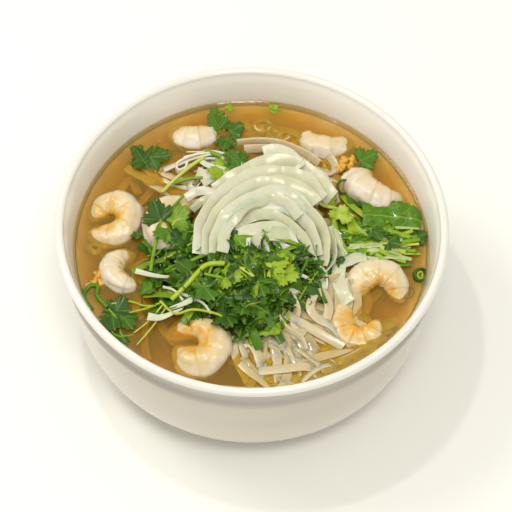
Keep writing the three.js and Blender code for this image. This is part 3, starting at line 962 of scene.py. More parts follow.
# girth, tilt from end to end, tone, and the route as (x, y, height over the broth)
ONION_SLICES = [
    # the upper nest, from the cut ends at the front left, over the crest, down to the right
    (1.25, (0.3, 0.5), 0.95, [(6, 52, 10), (13, 51, 13), (19, 45, 15.5), (24, 38, 17)]),
    (1.1, (0.5, 0.7), 0.8, [(-20, 24, 12), (-6, 33, 16), (10, 41, 17.6), (24, 40, 16.8), (34, 33, 14.5),
     (42, 24, 11)]),
    (1.0, (ROOF_LEAN, 0.6), 0.95, [(-28, -17, 9.5), (-27, 0, 13), (-18, 16, 16.5), (-2, 30, 18.6),
     (14, 34, 18.8), (28, 30, 17), (38, 21, 12.5)]),
    (0.85, (ROOF_LEAN, 0.55), 0.7, [(-24.5, -17, 10), (-22.5, -2, 13.2), (-14.5, 12, 16.2),
     (-1, 24.5, 18.4), (13, 28, 18.6), (25, 25, 17), (34, 17, 13)]),
    (0.75, (ROOF_LEAN, 0.5), 1.0, [(-20, -16, 10.4), (-18.5, -3, 13.2), (-12, 9, 15.8), (0, 19, 17.6),
     (12, 22.5, 17.8), (22.5, 20, 16.2), (30, 13.5, 13)]),
    (0.7, (ROOF_LEAN, 0.45), 0.75, [(-15.5, -16, 10.6), (-14, -4, 13), (-9, 6, 15), (0, 14.5, 16.4),
     (11, 17.5, 16.4), (20, 15.5, 15.2), (25.5, 10, 13)]),
    (0.6, (0.4, 0.3), 0.9, [(-36, 20, 8), (-28, 23.5, 11), (-19, 22.5, 13), (-11, 23, 14.4)]),
    (0.5, (0.7, 0.4), 0.6, [(-32, 12, 8), (-27, 17, 11), (-20, 19.5, 13), (-12, 20, 14.6)]),
    # the lower nest, that opens to the front right
    (0.85, (0.5, 0.9), 0.35, [(22, 19, 14), (31, 13, 12.6), (37.5, 4, 10.4), (39.5, -8, 7.4),
     (37.5, -16, 5)]),
    (0.8, (0.3, 0.8), 0.9, [(-10, 8, 11), (1, 12.5, 13.2), (13, 15, 14), (24, 11, 12.6), (32, 2, 9.8),
     (35.5, -11, 6.4)]),
    (0.75, (0.3, 0.7), 0.55, [(-10, 2.5, 10.6), (1, 7, 12.4), (12, 9.5, 13), (20.5, 5.5, 11.6),
     (27.5, -3, 9), (31.5, -14, 6.4)]),
    (0.75, (0.3, 0.6), 0.95, [(-9, -3, 10), (2, 1, 11.6), (12, 3.5, 12), (18.5, -0.5, 10.6),
     (24.5, -7.5, 8.6), (29, -16, 6.4)]),
    (0.6, (0.4, 0.6), 0.8, [(-2, -6, 10.4), (6, -4.5, 11), (13, -5, 10.4), (19, -9.5, 9),
     (24, -16, 7.4)]),
    (0.7, (0.6, 0.9), 0.6, [(39.5, 7, 8), (43, -3, 6.6), (42.5, -12, 4.6), (38, -20, 3.4)]),
    (0.65, (0.7, 0.9), 0.4, [(44, 4, 5.6), (48, -6, 4), (47.5, -15, 2.6), (43, -24, 2)]),
    (0.8, (0.4, 0.4), 0.7, [(33, -17, 5.4), (37, -22, 4.4), (38, -29, 3.6)]),
    (0.3, (0.2, 0.9), 1.0, [(-2, -7, 12), (-3.5, -15.5, 11.4), (0, -22.5, 11), (6, -28.5, 10)]),
    (0.75, (0.5, 0.9), 0.5, [(1, -5, 11.6), (6, -11, 11.2), (8.5, -16, 10.6)]),
    # the slice that has slid off to the right
    (0.85, (0.3, 0.3), 0.8, [(63, -9.5, 2.6), (55, -9, 3.8), (48.5, -14.5, 4.2), (46, -23, 4),
     (48, -31, 3.4), (53, -38, 2.4)]),
    (0.8, (0.3, 0.1), 0.8, [(-28, 36, 4.6), (-20, 39, 6.6), (-12, 35, 8)]),
    (0.7, (0.6, 0.1), 0.9, [(-32, 44, 2.6), (-24, 40, 4.6), (-17, 36, 6)]),
    (0.45, (0.8, 1.1), 0.8, [(32, 47, 6), (39, 41, 6.6), (45, 32, 6), (47, 24, 5)]),
]


def onion_flesh():
    """Faint veins run along each slice, and a painted highlight makes its edges whiter."""
    finish = Finish("raw onion flesh")
    mask = finish.grain(60, 900, 0.14, 0.0004)
    across = finish.stored("across")
    veins = finish.calc("SINE", finish.calc("MULTIPLY", across, ONION_VEINS))
    blend = finish.calc("MULTIPLY_ADD", veins, 0.05, mask)
    shade = finish.calc("MULTIPLY_ADD", finish.stored("tone"), 0.4, blend)
    # painted highlight: whiter towards both edges of a slice
    edge = finish.spread(finish.calc("ABSOLUTE", across), 0, 0.6, 0.46, 0.5)
    colour = finish.mix(edge, finish.ramp(shade, ONION_TONES), ONION_EDGE_HIGHLIGHT)
    return finish.done(colour, {
        "Roughness": 0.32, "Transmission Weight": 0.3, "IOR": 1.36, "Subsurface Weight": 0.25,
        "Subsurface Scale": 0.003, "Coat Weight": 0.3, "Coat Roughness": 0.12})


def lean_on_herbs(x, y):
    """The cut ends at the left lie on top of the herbs, so they are a little higher."""
    return 3.6 * between(-x, -22, 12) * between(y, -40, -14) * (1 - between(y, 14, 30))


def onion_slices():
    lines = []
    for k, (girth, tilt, tone, places) in enumerate(ONION_SLICES):
        jog = random.Random(k + 90)
        moved = [(x + jog.uniform(-1, 1), y + jog.uniform(-1, 1),
                  z + jog.uniform(-0.6, 0.6) + lean_on_herbs(px, py))
                 for (x, y, z), (px, py, _) in zip(over_broth(places), places)]
        width = (girth * jog.uniform(0.8, 1.05), girth)
        lines.append((route(moved, step=1.5, tilt=tilt, girth=width, sway=0.45, seed=k, wobble=0.9),
                      tone))
    return lines


def crossed_slices():
    """The cut ends and crossed slices inside the pile, that only show through its gaps."""
    rng = random.Random(5)
    lines = []
    for k in range(CROSSED_COUNT):
        x, y = rng.uniform(-14, 30), rng.uniform(-6, 30)
        turn = rng.uniform(0, math.pi)
        height = LEVEL + rng.uniform(8.5, 13)
        reach = rng.uniform(9, 15)
        ends = [(x + s * reach * math.cos(turn), y + s * reach * math.sin(turn), height - 2.5 * s * s)
                for s in (-1, 0, 1)]
        lines.append((route(ends, step=2, tilt=(-0.2, 0.4)), rng.uniform(0, 1)))
    return lines


slices = ribbons("onion_slices_cut", onion_slices() + crossed_slices(), ONION_WIDTH, ONION_THICKNESS,
                 ONION_ROUNDING, onion_flesh())
keep(slices, "onion", "onion_slices")

# ---- Chopped herbs ----------------------------------------------------------------------------
# Fresh coriander torn by hand and spring onion cut small, strewn over the noodles: toothed
# leaflets, thin stalks and flat green strips, wet and glossy, some dark, some pale underneath.
HERB_MIDDLE = (-8, -14)
HERB_CROWN = 83
HERB_BED_RINGS, HERB_BED_SPOKES = 18, 72
LEAF_THICKNESS = 0.25 * MM
# the lobes of a leaflet: size, way from its tip and half width, in degrees
LOBES = ((1.0, 0, 50), (0.86, 66, 44), (0.86, -66, 44), (0.5, 118, 40), (0.5, -118, 40))


def leaf_skin(name, dark, middle, light, back):
    """The tone stored on a leaf runs from dark over middle to light; the veins show the back."""
    finish = Finish(name)
    mask = finish.grain(260, 1800, 0.5, 0.0005)
    shade = finish.calc("MULTIPLY_ADD", mask, 0.35, finish.stored("tone"))
    skin = finish.ramp(shade, [(0.12, dark), (0.6, middle), (0.95, light), (1.0, back)])
    colour = finish.mix(finish.spread(finish.stored("vein"), 0, 0.55), skin, back)
    return finish.done(colour, {
        "Roughness": 0.45, "Specular IOR Level": 0.22, "Subsurface Weight": 0.1,
        "Subsurface Scale": 0.001, "Coat Weight": 0.18, "Coat Roughness": 0.1})


LEAF_GREEN = leaf_skin("coriander leaf", (0.012, 0.050, 0.0008), (0.070, 0.180, 0.002),
                       (0.30, 0.42, 0.012), (0.40, 0.50, 0.07))
STALK_GREEN = leaf_skin("green stalk", (0.03, 0.14, 0.003), (0.20, 0.35, 0.008),
                        (0.42, 0.50, 0.03), (0.50, 0.56, 0.10))


def leaf_edge(angle, teeth):
    """How far a leaflet reaches at an angle from its tip: cut lobes with round teeth."""
    lobes = 0.0
    for size, lean, width in LOBES:
        away = min(abs(math.degrees(angle) - lean) / width, 1)
        lobes = max(lobes, size * math.cos(away * math.pi / 2) ** 0.42)
    return max(lobes * (1 - 0.15 * (0.5 - 0.5 * math.cos(angle * teeth))), 0.12)


def leaflet(name, reach, cup, fold, rings, spokes, material, teeth=22):
    """One toothed leaflet as a thin closed sheet that starts at its stalk and points along +y."""
    points, faces, veins = [], [], []
    for side in (1, -1):
        for i in range(rings + 1):
            share = i / rings
            for k in range(spokes):
                angle = math.radians(-140 + 280 * k / (spokes - 1))
                out = reach * leaf_edge(angle, teeth) * share
                x, y = out * math.sin(angle), out * math.cos(angle)
                z = cup * reach * share ** 2 * math.cos(2 * angle) + fold * abs(x)
                z += 0.06 * reach * share * math.sin(5 * angle + cup * 20) - 0.5 * abs(cup) * y * y / reach
                edge = 0.3 if i == rings else 1
                points.append((x, y, z + side * LEAF_THICKNESS / 2 * edge))
                lines = max(0, 1 - abs(math.sin(angle * 2.7)) * 7) * (1 - 0.6 * share)
                veins.append(lines if i else 0.5)
    half = (rings + 1) * spokes
    for side in (0, 1):
        for i in range(rings):
            for k in range(spokes - 1):
                a = side * half + i * spokes + k
                b, c, d = a + 1, a + 1 + spokes, a + spokes
                faces.append((a, d, c, b) if side else (a, b, c, d))
    tip = rings * spokes
    faces += [(a, a + 1, a + 1 + half, a + half) for a in range(tip, tip + spokes - 1)]
    for k in (0, spokes - 1):
        for a in range(k, k + tip, spokes):
            faces.append((a, a + spokes, a + spokes + half, a + half))
    piece = mesh_piece(name, points, faces, material)
    note(piece, vein=veins)
    weld(piece, 0.004 * reach)
    return piece


def scatter_tree():
    """Puts one of several shapes on each point, turned and sized by the point's own values."""
    tree, inside, outside = new_tree("strewn leaves", ("Shapes", "Collection"), ("Material", "Material"))
    nodes, links = tree.nodes, tree.links
    shapes = nodes.new("GeometryNodeCollectionInfo")
    shapes.inputs["Separate Children"].default_value = True
    shapes.inputs["Reset Children"].default_value = True
    links.new(inside.outputs["Shapes"], shapes.inputs["Collection"])
    put = nodes.new("GeometryNodeInstanceOnPoints")
    put.inputs["Pick Instance"].default_value = True
    links.new(inside.outputs["Geometry"], put.inputs["Points"])
    links.new(shapes.outputs["Instances"], put.inputs["Instance"])
    links.new(named(tree, "kind", "INT"), put.inputs["Instance Index"])
    turn = nodes.new("FunctionNodeEulerToRotation")
    links.new(named(tree, "turn", "FLOAT_VECTOR"), turn.inputs["Euler"])
    links.new(turn.outputs["Rotation"], put.inputs["Rotation"])
    links.new(named(tree, "size"), put.inputs["Scale"])
    end_tree(tree, inside, outside, put.outputs["Instances"])
    return tree


STREWN = scatter_tree()


def strewn(name, spots, shapes, material):
    """spots: (x, y, z in millimetres, turn as three angles, size, kind, tone)."""
    mesh = bpy.data.meshes.new(name)
    mesh.from_pydata([(x * MM, y * MM, z * MM) for x, y, z, *_ in spots], [], [])
    turns = [angle for spot in spots for angle in spot[3]]
    mesh.attributes.new("turn", "FLOAT_VECTOR", "POINT").data.foreach_set("vector", turns)
    for label, kind, index in (("size", "FLOAT", 4), ("kind", "INT", 5), ("tone", "FLOAT", 6)):
        values = [spot[index] for spot in spots]
        mesh.attributes.new(label, kind, "POINT").data.foreach_set("value", values)
    source = bpy.data.objects.new(name, mesh)
    bpy.context.collection.objects.link(source)
    return grown(source, STREWN, name, Shapes=shapes, Material=material)


def shape_box(name, pieces):
    """Takes the pieces out of sight, into a collection to be strewn."""
    shapes = bpy.data.collections.new(name)
    for piece in pieces:
        bpy.context.collection.objects.unlink(piece)
        shapes.objects.link(piece)
    return shapes


def herb_reach(angle):
    bay = 18 * math.exp(-((angle - 2.27) / 0.45) ** 2)          # room for the shrimp at the left
    return 48 + 4 * math.sin(2 * angle + 2) + 3.5 * math.cos(5 * angle) - bay


def herb_top(x, y):
    away = math.hypot(x - HERB_MIDDLE[0], y - HERB_MIDDLE[1])
    share = away / herb_reach(math.atan2(y - HERB_MIDDLE[1], x - HERB_MIDDLE[0]))
    return HERB_CROWN + (LEVEL + 3.5 - HERB_CROWN) * between(share, 0.45, 1) + 1.1 * wave(x, y, 19)


def under_onion(x, y):
    return math.hypot(x - 8, (y - 17) * 1.1) < 27 or (-33 < x < -10 and -18 < y < 24)


def in_heap(middle, reach, angle, share):
    """The place at a share of the heap's reach."""
    return (middle[0] + share * reach(angle) * math.cos(angle),
            middle[1] + share * reach(angle) * math.sin(angle))


def herb_spots(rng, count, middle, reach, top, sizes, tones):
    spots = []
    for k in range(count):
        angle = rng.uniform(0, 2 * math.pi)
        x, y = in_heap(middle, reach, angle, math.sqrt(rng.uniform(0, 1)) * 0.97)
        if under_onion(x, y):
            continue
        z = top(x, y) - rng.uniform(0, 3.6)
        turn = (rng.gauss(0.1, 0.42), rng.gauss(0, 0.42), rng.uniform(0, 2 * math.pi))
        size, kind = rng.uniform(*sizes) / 10, rng.randrange(4)
        spots.append((x, y, z, turn, size, kind, min(max(rng.gauss(*tones), 0), 1)))
    return spots


def herb_shade_core():
    """The pressed-down part of the heap, in the darkest leaf tone as painted shade between the leaves."""
    low = LEVEL - 1
    points = []
    for side in (1, -1):
        for i in range(HERB_BED_RINGS + 1):
            share = i / HERB_BED_RINGS
            for k in range(HERB_BED_SPOKES):
                angle = 2 * math.pi * k / HERB_BED_SPOKES
                away = share * (herb_reach(angle) - 5)
                x, y = HERB_MIDDLE[0] + away * math.cos(angle), HERB_MIDDLE[1] + away * math.sin(angle)
                relief = 0.7 * noise.noise(Vector((x * 0.4, y * 0.4, 0)))
                high = herb_top(x, y) - 3.6 - 3 * share ** 4 + relief
                points.append((x * MM, y * MM, (max(high, low + 0.5) if side > 0 else low) * MM))
    piece = mesh_piece("herb_bed", points, heap_faces(HERB_BED_RINGS, HERB_BED_SPOKES), LEAF_GREEN)
    # painted shade: the whole bed takes the darkest leaf tone
    note(piece, tone=0.05)
    weld(piece)
    return piece


def herb_strips(rng, count, long, girth, lift):
    """Stalks or flat strips laid at random over the heap, a little bent."""
    lines = []
    for k in range(count):
        angle = rng.uniform(0, 2 * math.pi)
        x, y = in_heap(HERB_MIDDLE, herb_reach, angle, math.sqrt(rng.uniform(0, 1)) * 0.92)
        if under_onion(x, y):
            continue
        turn, size, bow = rng.uniform(0, math.pi), rng.uniform(*long), rng.uniform(-0.25, 0.25)
        spots = []
        for s in (-0.5, -0.15, 0.2, 0.5):
            px = x + size * (s * math.cos(turn) - bow * (0.25 - s * s) * math.sin(turn))
            py = y + size * (s * math.sin(turn) + bow * (0.25 - s * s) * math.cos(turn))
            spots.append((px, py, herb_top(px, py) + rng.uniform(*lift)))
        width = rng.uniform(*girth)
        tilt = (rng.uniform(-1, 1), rng.uniform(-1, 1))
        lines.append((route(spots, step=1.8, tilt=tilt, girth=(width, width)), rng.uniform(0, 0.62)))
    return lines


LEAF_SHAPES = shape_box("leaf shapes", [
    leaflet(f"shape_{k}", 10 * MM, cup, fold, 2, 29, LEAF_GREEN, 16)
    for k, (cup, fold) in enumerate(((0.10, 0.15), (-0.12, 0.35), (0.16, -0.25), (-0.05, 0.7)))])
herb_rng = random.Random(23)
keep(herb_shade_core(), "herb", "herbs")
leaf_spots = herb_spots(herb_rng, 260, HERB_MIDDLE, herb_reach, herb_top, (5.5, 11), (0.17, 0.26))
keep(strewn("herb_leaves", leaf_spots, LEAF_SHAPES, LEAF_GREEN), "herb", "herbs")
strips = herb_strips(herb_rng, 170, (10, 27), (0.5, 1.6), (-1.4, 1.6))
keep(ribbons("herb_strips", strips, 3.6 * MM, 0.4 * MM, 0.12 * MM, LEAF_GREEN), "herb", "herbs")
stalks = herb_strips(herb_rng, 60, (12, 30), (0.6, 1.3), (-0.8, 1.8))
keep(ribbons("herb_stalks", stalks, 1.5 * MM, 1.4 * MM, 0.55 * MM, STALK_GREEN), "herb", "herbs")

# ---- Laid stalks and shreds -------------------------------------------------------------------
# The longer stalks of coriander and shreds of spring onion on top of the heap: round and yellow
# green, or flat, white and glassy, some reaching out over the broth at the front left.


def laid_stalks():
    return [
        strand(0.72, (-41, -43, 9), (-33, -35, 12), (-24, -24.5, 14.4), (-14, -22.5, 14),
               girth=(1.5, 1.7)),
        strand(0.75, (-47, -42, 5.5), (-39, -50, 6.6), (-30, -48, 8), (-21, -49, 8), (-14, -51, 7),
               (-9, -56, 5), girth=(0.9, 0.8)),
        strand(0.8, (-45, -43, 5), (-52, -52, 2.4), (-60, -59, 0.4), girth=(0.6, 0.5)),
        strand(0.85, (-44, -46, 5), (-51, -57, 2.4), (-58, -66, 0.2), girth=(0.55, 0.45)),
        strand(0.6, (-46, -42, 4.5), (-54, -45, 2.6), (-63, -47, 1), girth=(0.8, 0.7)),
        strand(0.6, (-49, -44, 4), (-56, -43, 2), (-64, -40, 1), (-73, -42, 0.8), girth=(0.7, 0.7)),
        strand(0.35, (-53, -24, 6), (-52, -14, 8.6), (-50.5, -4, 10.4), (-49, 5, 11.6),
               girth=(1.3, 1.1)),
        strand(0.35, (-47, 8, 12), (-43, 14, 12), (-38, 21, 12), girth=(1.2, 0.9)),
        strand(0.7, (-43, 2, 11.4), (-41, 5, 12), (-38, 6, 12.4), girth=(0.7, 0.7)),
        strand(0.3, (-27, 58, 3), (-20, 54, 5), (-12, 49, 6.4), girth=(1.6, 1.6)),
        strand(0.35, (-44, 36, 2.4), (-36, 38, 4), (-28, 38, 6), girth=(1.2, 1.0)),
        strand(0.95, (-50, 30, 2), (-44, 37, 3.4), (-36, 45, 5), (-28, 52, 5.6), girth=(1.1, 1.4)),
        strand(0.4, (-74, -45, 0.8), (-69, -52, 0.8), (-67, -59, 0.5), (-64, -63, -0.4),
               girth=(0.7, 0.7)),
        strand(0.4, (-84, -46, 0.4), (-80, -51, 0.3), (-75, -53, 0.4), (-69, -61, 0.3), (-60, -60, 0.2),
               girth=(0.7, 0.5)),
        strand(0.1, (-83, -46, 0.6), (-88, -38, 0.7), (-85, -31, 0.9), (-80.5, -31.5, 0.8),
               (-81, -37, 0.8), (-75, -44, 0.8), girth=(1.6, 1.3), tilt=(0.6, 0.2)),
        strand(0.85, (-6, -24, 13.4), (2, -30, 13), (8, -38, 11), girth=(1.1, 0.9)),
        strand(0.5, (4, -19, 13), (12, -22, 11), (20, -23, 8), girth=(1.0, 0.9)),
        strand(0.8, (30, 27, 9), (38, 22, 7), (46, 21, 5), (55, 17, 4), girth=(1.4, 1.2)),
        strand(0.45, (44, 12, 5), (47, 2, 4.6), (52, -6, 3), girth=(2.2, 1.4), tilt=(0.8, 0.8)),
    ]


def laid_shreds():
    return [
        strand(0.9, (-61, -24, 6), (-52, -27.5, 8), (-43, -29.5, 10), (-35, -28.5, 11.6), tilt=(0.4, 1),
               girth=(1.1, 0.3)),
        strand(1.0, (-42, -47, 6), (-33, -44, 8.6), (-24, -39, 10.6), (-20, -36, 11), tilt=(0.2, 0.6),
               girth=(0.7, 1.5)),
        strand(0.8, (-53, -51, 4.4), (-46, -52, 5.6), (-35, -47, 7), tilt=(0.2, 0.6),
               girth=(1.6, 0.35)),
        strand(0.95, (-36, -39, 9), (-30, -42, 10), (-24, -45, 9.6), (-20, -50, 8), tilt=(0.9, 0.3),
               girth=(0.6, 0.4)),
        strand(0.9, (-46, -34, 7), (-40, -37, 9), (-35, -43, 9), tilt=(0.9, 0.3), girth=(0.5, 0.4)),
        strand(1.0, (14, -30, 8), (22, -34, 6.6), (28, -30, 6), (33, -33, 5), tilt=(0.5, 0.1),
               girth=(1.4, 1.0)),
        strand(0.95, (18, -24, 9), (26, -24, 8), (32, -27, 6.4), (31, -34, 5), tilt=(0.5, 0.6),
               girth=(0.7, 0.6)),
        strand(0.7, (-18, 52, 6.4), (-10, 45, 8.6), (0, 44, 10), tilt=(0.5, 0.6), girth=(1.4, 1.1)),
        strand(0.8, (-30, 50, 5), (-24, 45, 7), (-16, 42, 8), tilt=(0.2, 0.6), girth=(1.0, 1.3)),
        strand(0.7, (44, 10, 6), (46, 0, 6), (51, -8, 4), tilt=(0.2, 0.6), girth=(0.8, 0.8)),
    ]


LEEK_WHITE = leaf_skin("spring onion white", (0.28, 0.40, 0.10), (0.45, 0.53, 0.24),
                       (0.55, 0.58, 0.38), (0.60, 0.62, 0.44))
keep(ribbons("laid_stalks", laid_stalks(), 1.6 * MM, 1.5 * MM, 0.6 * MM, STALK_GREEN), "herb", "herbs")
keep(ribbons("laid_shreds", laid_shreds(), 2.8 * MM, 0.6 * MM, 0.2 * MM, LEEK_WHITE), "herb", "herbs")

# ---- Loose coriander leaves -------------------------------------------------------------------
# Torn leaflets that lie flat on the broth or stand up on a short stalk, each with its lobes and
# teeth whole: four floating groups, and one sprig that leans on a shrimp.
LAID_RINGS, LAID_SPOKES = 7, 97


def laid_leaves(name, node, leaves):
    """leaves: (x, y, height over the broth, size, turn and lean in degrees, tone)."""
    pieces = []
    for k, (x, y, over, size, turn, lean, tone) in enumerate(leaves):
        cup, fold = 0.10 + 0.05 * (k % 3), 0.12 - 0.1 * (k % 2)
        one = leaflet(name, size * MM, cup, fold, LAID_RINGS, LAID_SPOKES, LEAF_GREEN)
        place = Matrix.Translation(Vector((x, y, LEVEL + over)) * MM)
        place = place @ Matrix.Rotation(math.radians(turn), 4, "Z")
        one.data.transform(place @ Matrix.Rotation(math.radians(lean), 4, "X"))
        note(one, tone=tone)
        pieces.append(one)
    with bpy.context.temp_override(active_object=pieces[0], selected_editable_objects=pieces):
        bpy.ops.object.join()
    keep(pieces[0], "herb", node)


laid_leaves("floating_leaves_1", "leaf_back_left", [
    (-61, 52, 0.4, 9, 40, 4, 0.05), (-62, 52, 0.5, 8, 150, 5, 0.12), (-58, 54, 0.7, 12, -85, 4, 0.15),
    (-64, 58, 0.4, 6, 60, 3, 0.3)])
laid_leaves("floating_leaves_2", "leaf_back", [
    (-20, 76, 0.6, 10, 35, 6, 0.3), (-14, 74, 0.7, 9, -60, 4, 0.2), (-16, 68, 0.8, 9, 170, 3, 0.2),
    (-22, 84, 0.4, 7, 20, 4, 0.4)])
laid_leaves("floating_leaves_3", "leaf_back_right", [
    (59, 57, 0.5, 11, -62, 4, 0.35), (57, 50, 0.8, 7, -140, 5, 0.1)])
laid_leaves("floating_leaves_4", "leaf_front_left", [
    (-70, -46, 0.6, 10, -25, 5, 0.05), (-72, -48, 0.7, 12, 190, 4, 0.1),
    (-66, -50, 0.6, 10, 215, 6, 0.2), (-67, -60, 0.3, 9, 150, 2, 0.1)])
laid_leaves("floating_bits", "herbs", [
    (-14, 91, 0.4, 4.2, 95, 3, 0.7), (8, 91.5, 0.3, 5, -80, 3, 0.75), (12, 91, 0.3, 4, 95, 3, 0.65),
    (-26, 66, 0.8, 5, 60, 3, 0.2), (-62, 2, 3, 5, 190, 8, 0.15), (-54, 6, 6, 5, 60, 8, 0.2)])
laid_leaves("sprig_leaves", "herbs", [
    (-49, 5, 12, 13, 25, 12, 0.08), (-43, 3, 11.6, 13, -38, 14, 0.55), (-45, -2, 11.2, 9, 115, 6, 0.45),
    (-36, -8, 11, 10, -75, 4, 0.25), (-33, -14, 10.6, 9, -160, 6, 0.2)])
laid_leaves("heap_leaves", "herbs", [
    (-14, -30, 13.6, 11, -100, 8, 0.65), (4, -32, 13, 12, -160, 4, 0.25), (10, -24, 13.4, 12, -60, 6, 0.75),
    (-2, -42, 9.4, 13, 170, 14, 0.2), (-24, -36, 12, 12, -150, 6, 0.3), (-30, -28, 12.6, 12, 60, 8, 0.2),
    (12, -38, 8.6, 12, -130, 20, 0.15), (-12, -50, 7.6, 12, 200, 18, 0.1), (-8, 46, 8, 12, 50, 6, 0.3),
    (-14, 42, 8, 13, 110, 6, 0.7), (-6, 38, 10, 11, 30, 10, 0.35), (22, -12, 9, 9, -50, 6, 0.45),
    (17, -27, 12.4, 10, -110, 8, 0.7), (1, -22, 13.6, 9, 20, 6, 0.5)])

# ---- Side herbs -------------------------------------------------------------------------------
# A second pinch of herbs against the right wall: shreds of spring onion, white to green, under
# one broad coriander leaf.
SIDE_MIDDLE = (70, 9)
SIDE_LIMIT = 92             # how far out the shreds may reach
# name, count, middle, how widely they lie, lengths, girths, heights, drift, section, finish
SIDE_SHREDS = [
    ("white", 14, (72, -1), (6, 4.2), (14, 30), (0.9, 0.8), (0.4, 3.4), 0.16, (2.4, 0.6, 0.2), LEEK_WHITE),
    ("green", 32, (73, -1), (8, 5), (12, 30), (1.1, 0.9), (0.4, 3.4), 0.2, (2.2, 0.7, 0.25), STALK_GREEN),
    ("dark", 26, (60, 8), (9, 9), (10, 22), (1.4, 1.1), (0.2, 3.6), 0.9, (2.8, 0.5, 0.2), LEAF_GREEN),
]


def side_reach(angle):
    return 18 + 4.5 * math.cos(2 * angle) + 1.5 * math.sin(5 * angle)


def side_low(x, y):
    top = LEVEL + 3.2 - 0.03 * math.hypot(x - SIDE_MIDDLE[0], y - SIDE_MIDDLE[1])
    return top - 1.6 * between(y, 6, 16)


def lying_strips(rng, count, middle, breadth, long, girth, height, drift):
    """Strips that lie more or less the same way, side by side."""
    lines = []
    for k in range(count):
        x, y = middle[0] + rng.gauss(0, breadth[0]), middle[1] + rng.gauss(0, breadth[1])
        turn, size = rng.gauss(0, drift), rng.uniform(*long)
        bow = rng.uniform(-0.12, 0.12)
        spots = [(x + size * (s * math.cos(turn) - bow * s * s),
                  y + size * (s * math.sin(turn) + bow * (0.5 - s * s * 2)),
                  LEVEL + rng.uniform(*height)) for s in (-0.5, -0.2, 0.2, 0.5)]
        spots = [spot for spot in spots if math.hypot(spot[0], spot[1]) < SIDE_LIMIT]
        if len(spots) > 2:
            tilt = (rng.uniform(-0.6, 0.6), rng.uniform(-0.6, 0.6))
            lines.append((route(spots, step=1.8, tilt=tilt, girth=girth), rng.uniform(0.02, 0.8)))
    return lines


def broad_leaf():
    """One large leaf that hangs from the pile to the wall."""
    along, across = 40, 24
    points, faces, veins = [], [], []
    for side in (1, -1):
        for i in range(along + 1):
            for k in range(across + 1):
                u, v = i / along, k / across
                tooth = 1.1 * abs(math.sin(u * 26)) * (v > 0.97)
                tooth += 0.8 * abs(math.sin(u * 19 + 1)) * (v < 0.03)
                x = 60 + 32 * u - 3 * (v - 0.5) ** 2
                y = 12 + 15 * v * (1 - 0.25 * (2 * u - 1) ** 4) + tooth * (1 if v > 0.5 else -1)
                z = LEVEL + 5.2 - 3.4 * u ** 2 - 2.6 * (1 - v)
                z += 0.7 * math.sin(7 * u + 3 * v) + 0.35 * math.sin(23 * u)
                points.append((x * MM, y * MM, (z + side * 0.14) * MM))
                rib = 0.8 if abs(v - 0.45) < 0.03 else 0
                veins.append(max(0, 1 - abs(math.sin((u * 5 - v * 2.4) * math.pi)) * 8) * 0.7 + rib)
    row = across + 1
    half = (along + 1) * row
    for i in range(along):
        for k in range(across):
            a = i * row + k
            b, c, d = a + row, a + row + 1, a + 1
            faces.append((a, b, c, d))
            faces.append((a + half, d + half, c + half, b + half))
    for i in range(along):
        for a in (i * row, i * row + across):
            faces.append((a, a + half, a + row + half, a + row))
    for k in range(across):
        for a in (k, along * row + k):
            faces.append((a, a + 1, a + 1 + half, a + half))
    piece = mesh_piece("broad_leaf", points, faces, LEAF_GREEN)
    note(piece, vein=veins, tone=0.42)
    weld(piece)
    return piece


side_rng = random.Random(12)
side_spots = herb_spots(side_rng, 30, (62, 6), side_reach, side_low, (4, 7.5), (0.25, 0.2))
keep(strewn("side_leaves", side_spots, LEAF_SHAPES, LEAF_GREEN), "herb", "herbs_side")
for name, *spread_out, section, finish in SIDE_SHREDS:
    width, thickness, rounding = section
    shreds = lying_strips(side_rng, *spread_out)
    piece = ribbons("side_shreds_" + name, shreds, width * MM, thickness * MM, rounding * MM, finish)
    keep(piece, "herb", "herbs_side")
keep(broad_leaf(), "herb", "herbs_side")
laid_leaves("side_leaves_laid", "herbs_side", [
    (74, 2, 3.4, 8, -120, 10, 0.1), (89, 6, 1.8, 7, -60, 4, 0.1), (66, 8, 4.2, 8, -150, 4, 0.15),
    (47, 14, 6, 9, -20, 8, 0.8), (44, 26, 6, 8, 60, 8, 0.7)])

# ---- Spring onion rings -----------------------------------------------------------------------
# Thin rings cut across a green spring onion: one on the pile, two afloat by the wall, one inside
# the other, and one just sunk beside them.
RING_SIDES = 44
# name, place as (x, y, height over the broth), radius, half the wall, half the thickness, tip,
# turn and tone
CUT_RINGS = [
    ("ring_on_pile", (50, 36, 5), 4.2, 0.55, 1.0, 38, 15, 0.12),
    ("ring_by_wall", (90.5, -17.4, 1.3), 3.7, 0.6, 1.1, 42, 60, 0.12),
    ("ring_by_wall_inner", (90.5, -17.6, 1.4), 2.0, 0.45, 0.9, 42, 60, 0.8),
    ("ring_sunk", (83, -27, -1.2), 4.4, 0.3, 0.5, 8, 0, 0.3),
]


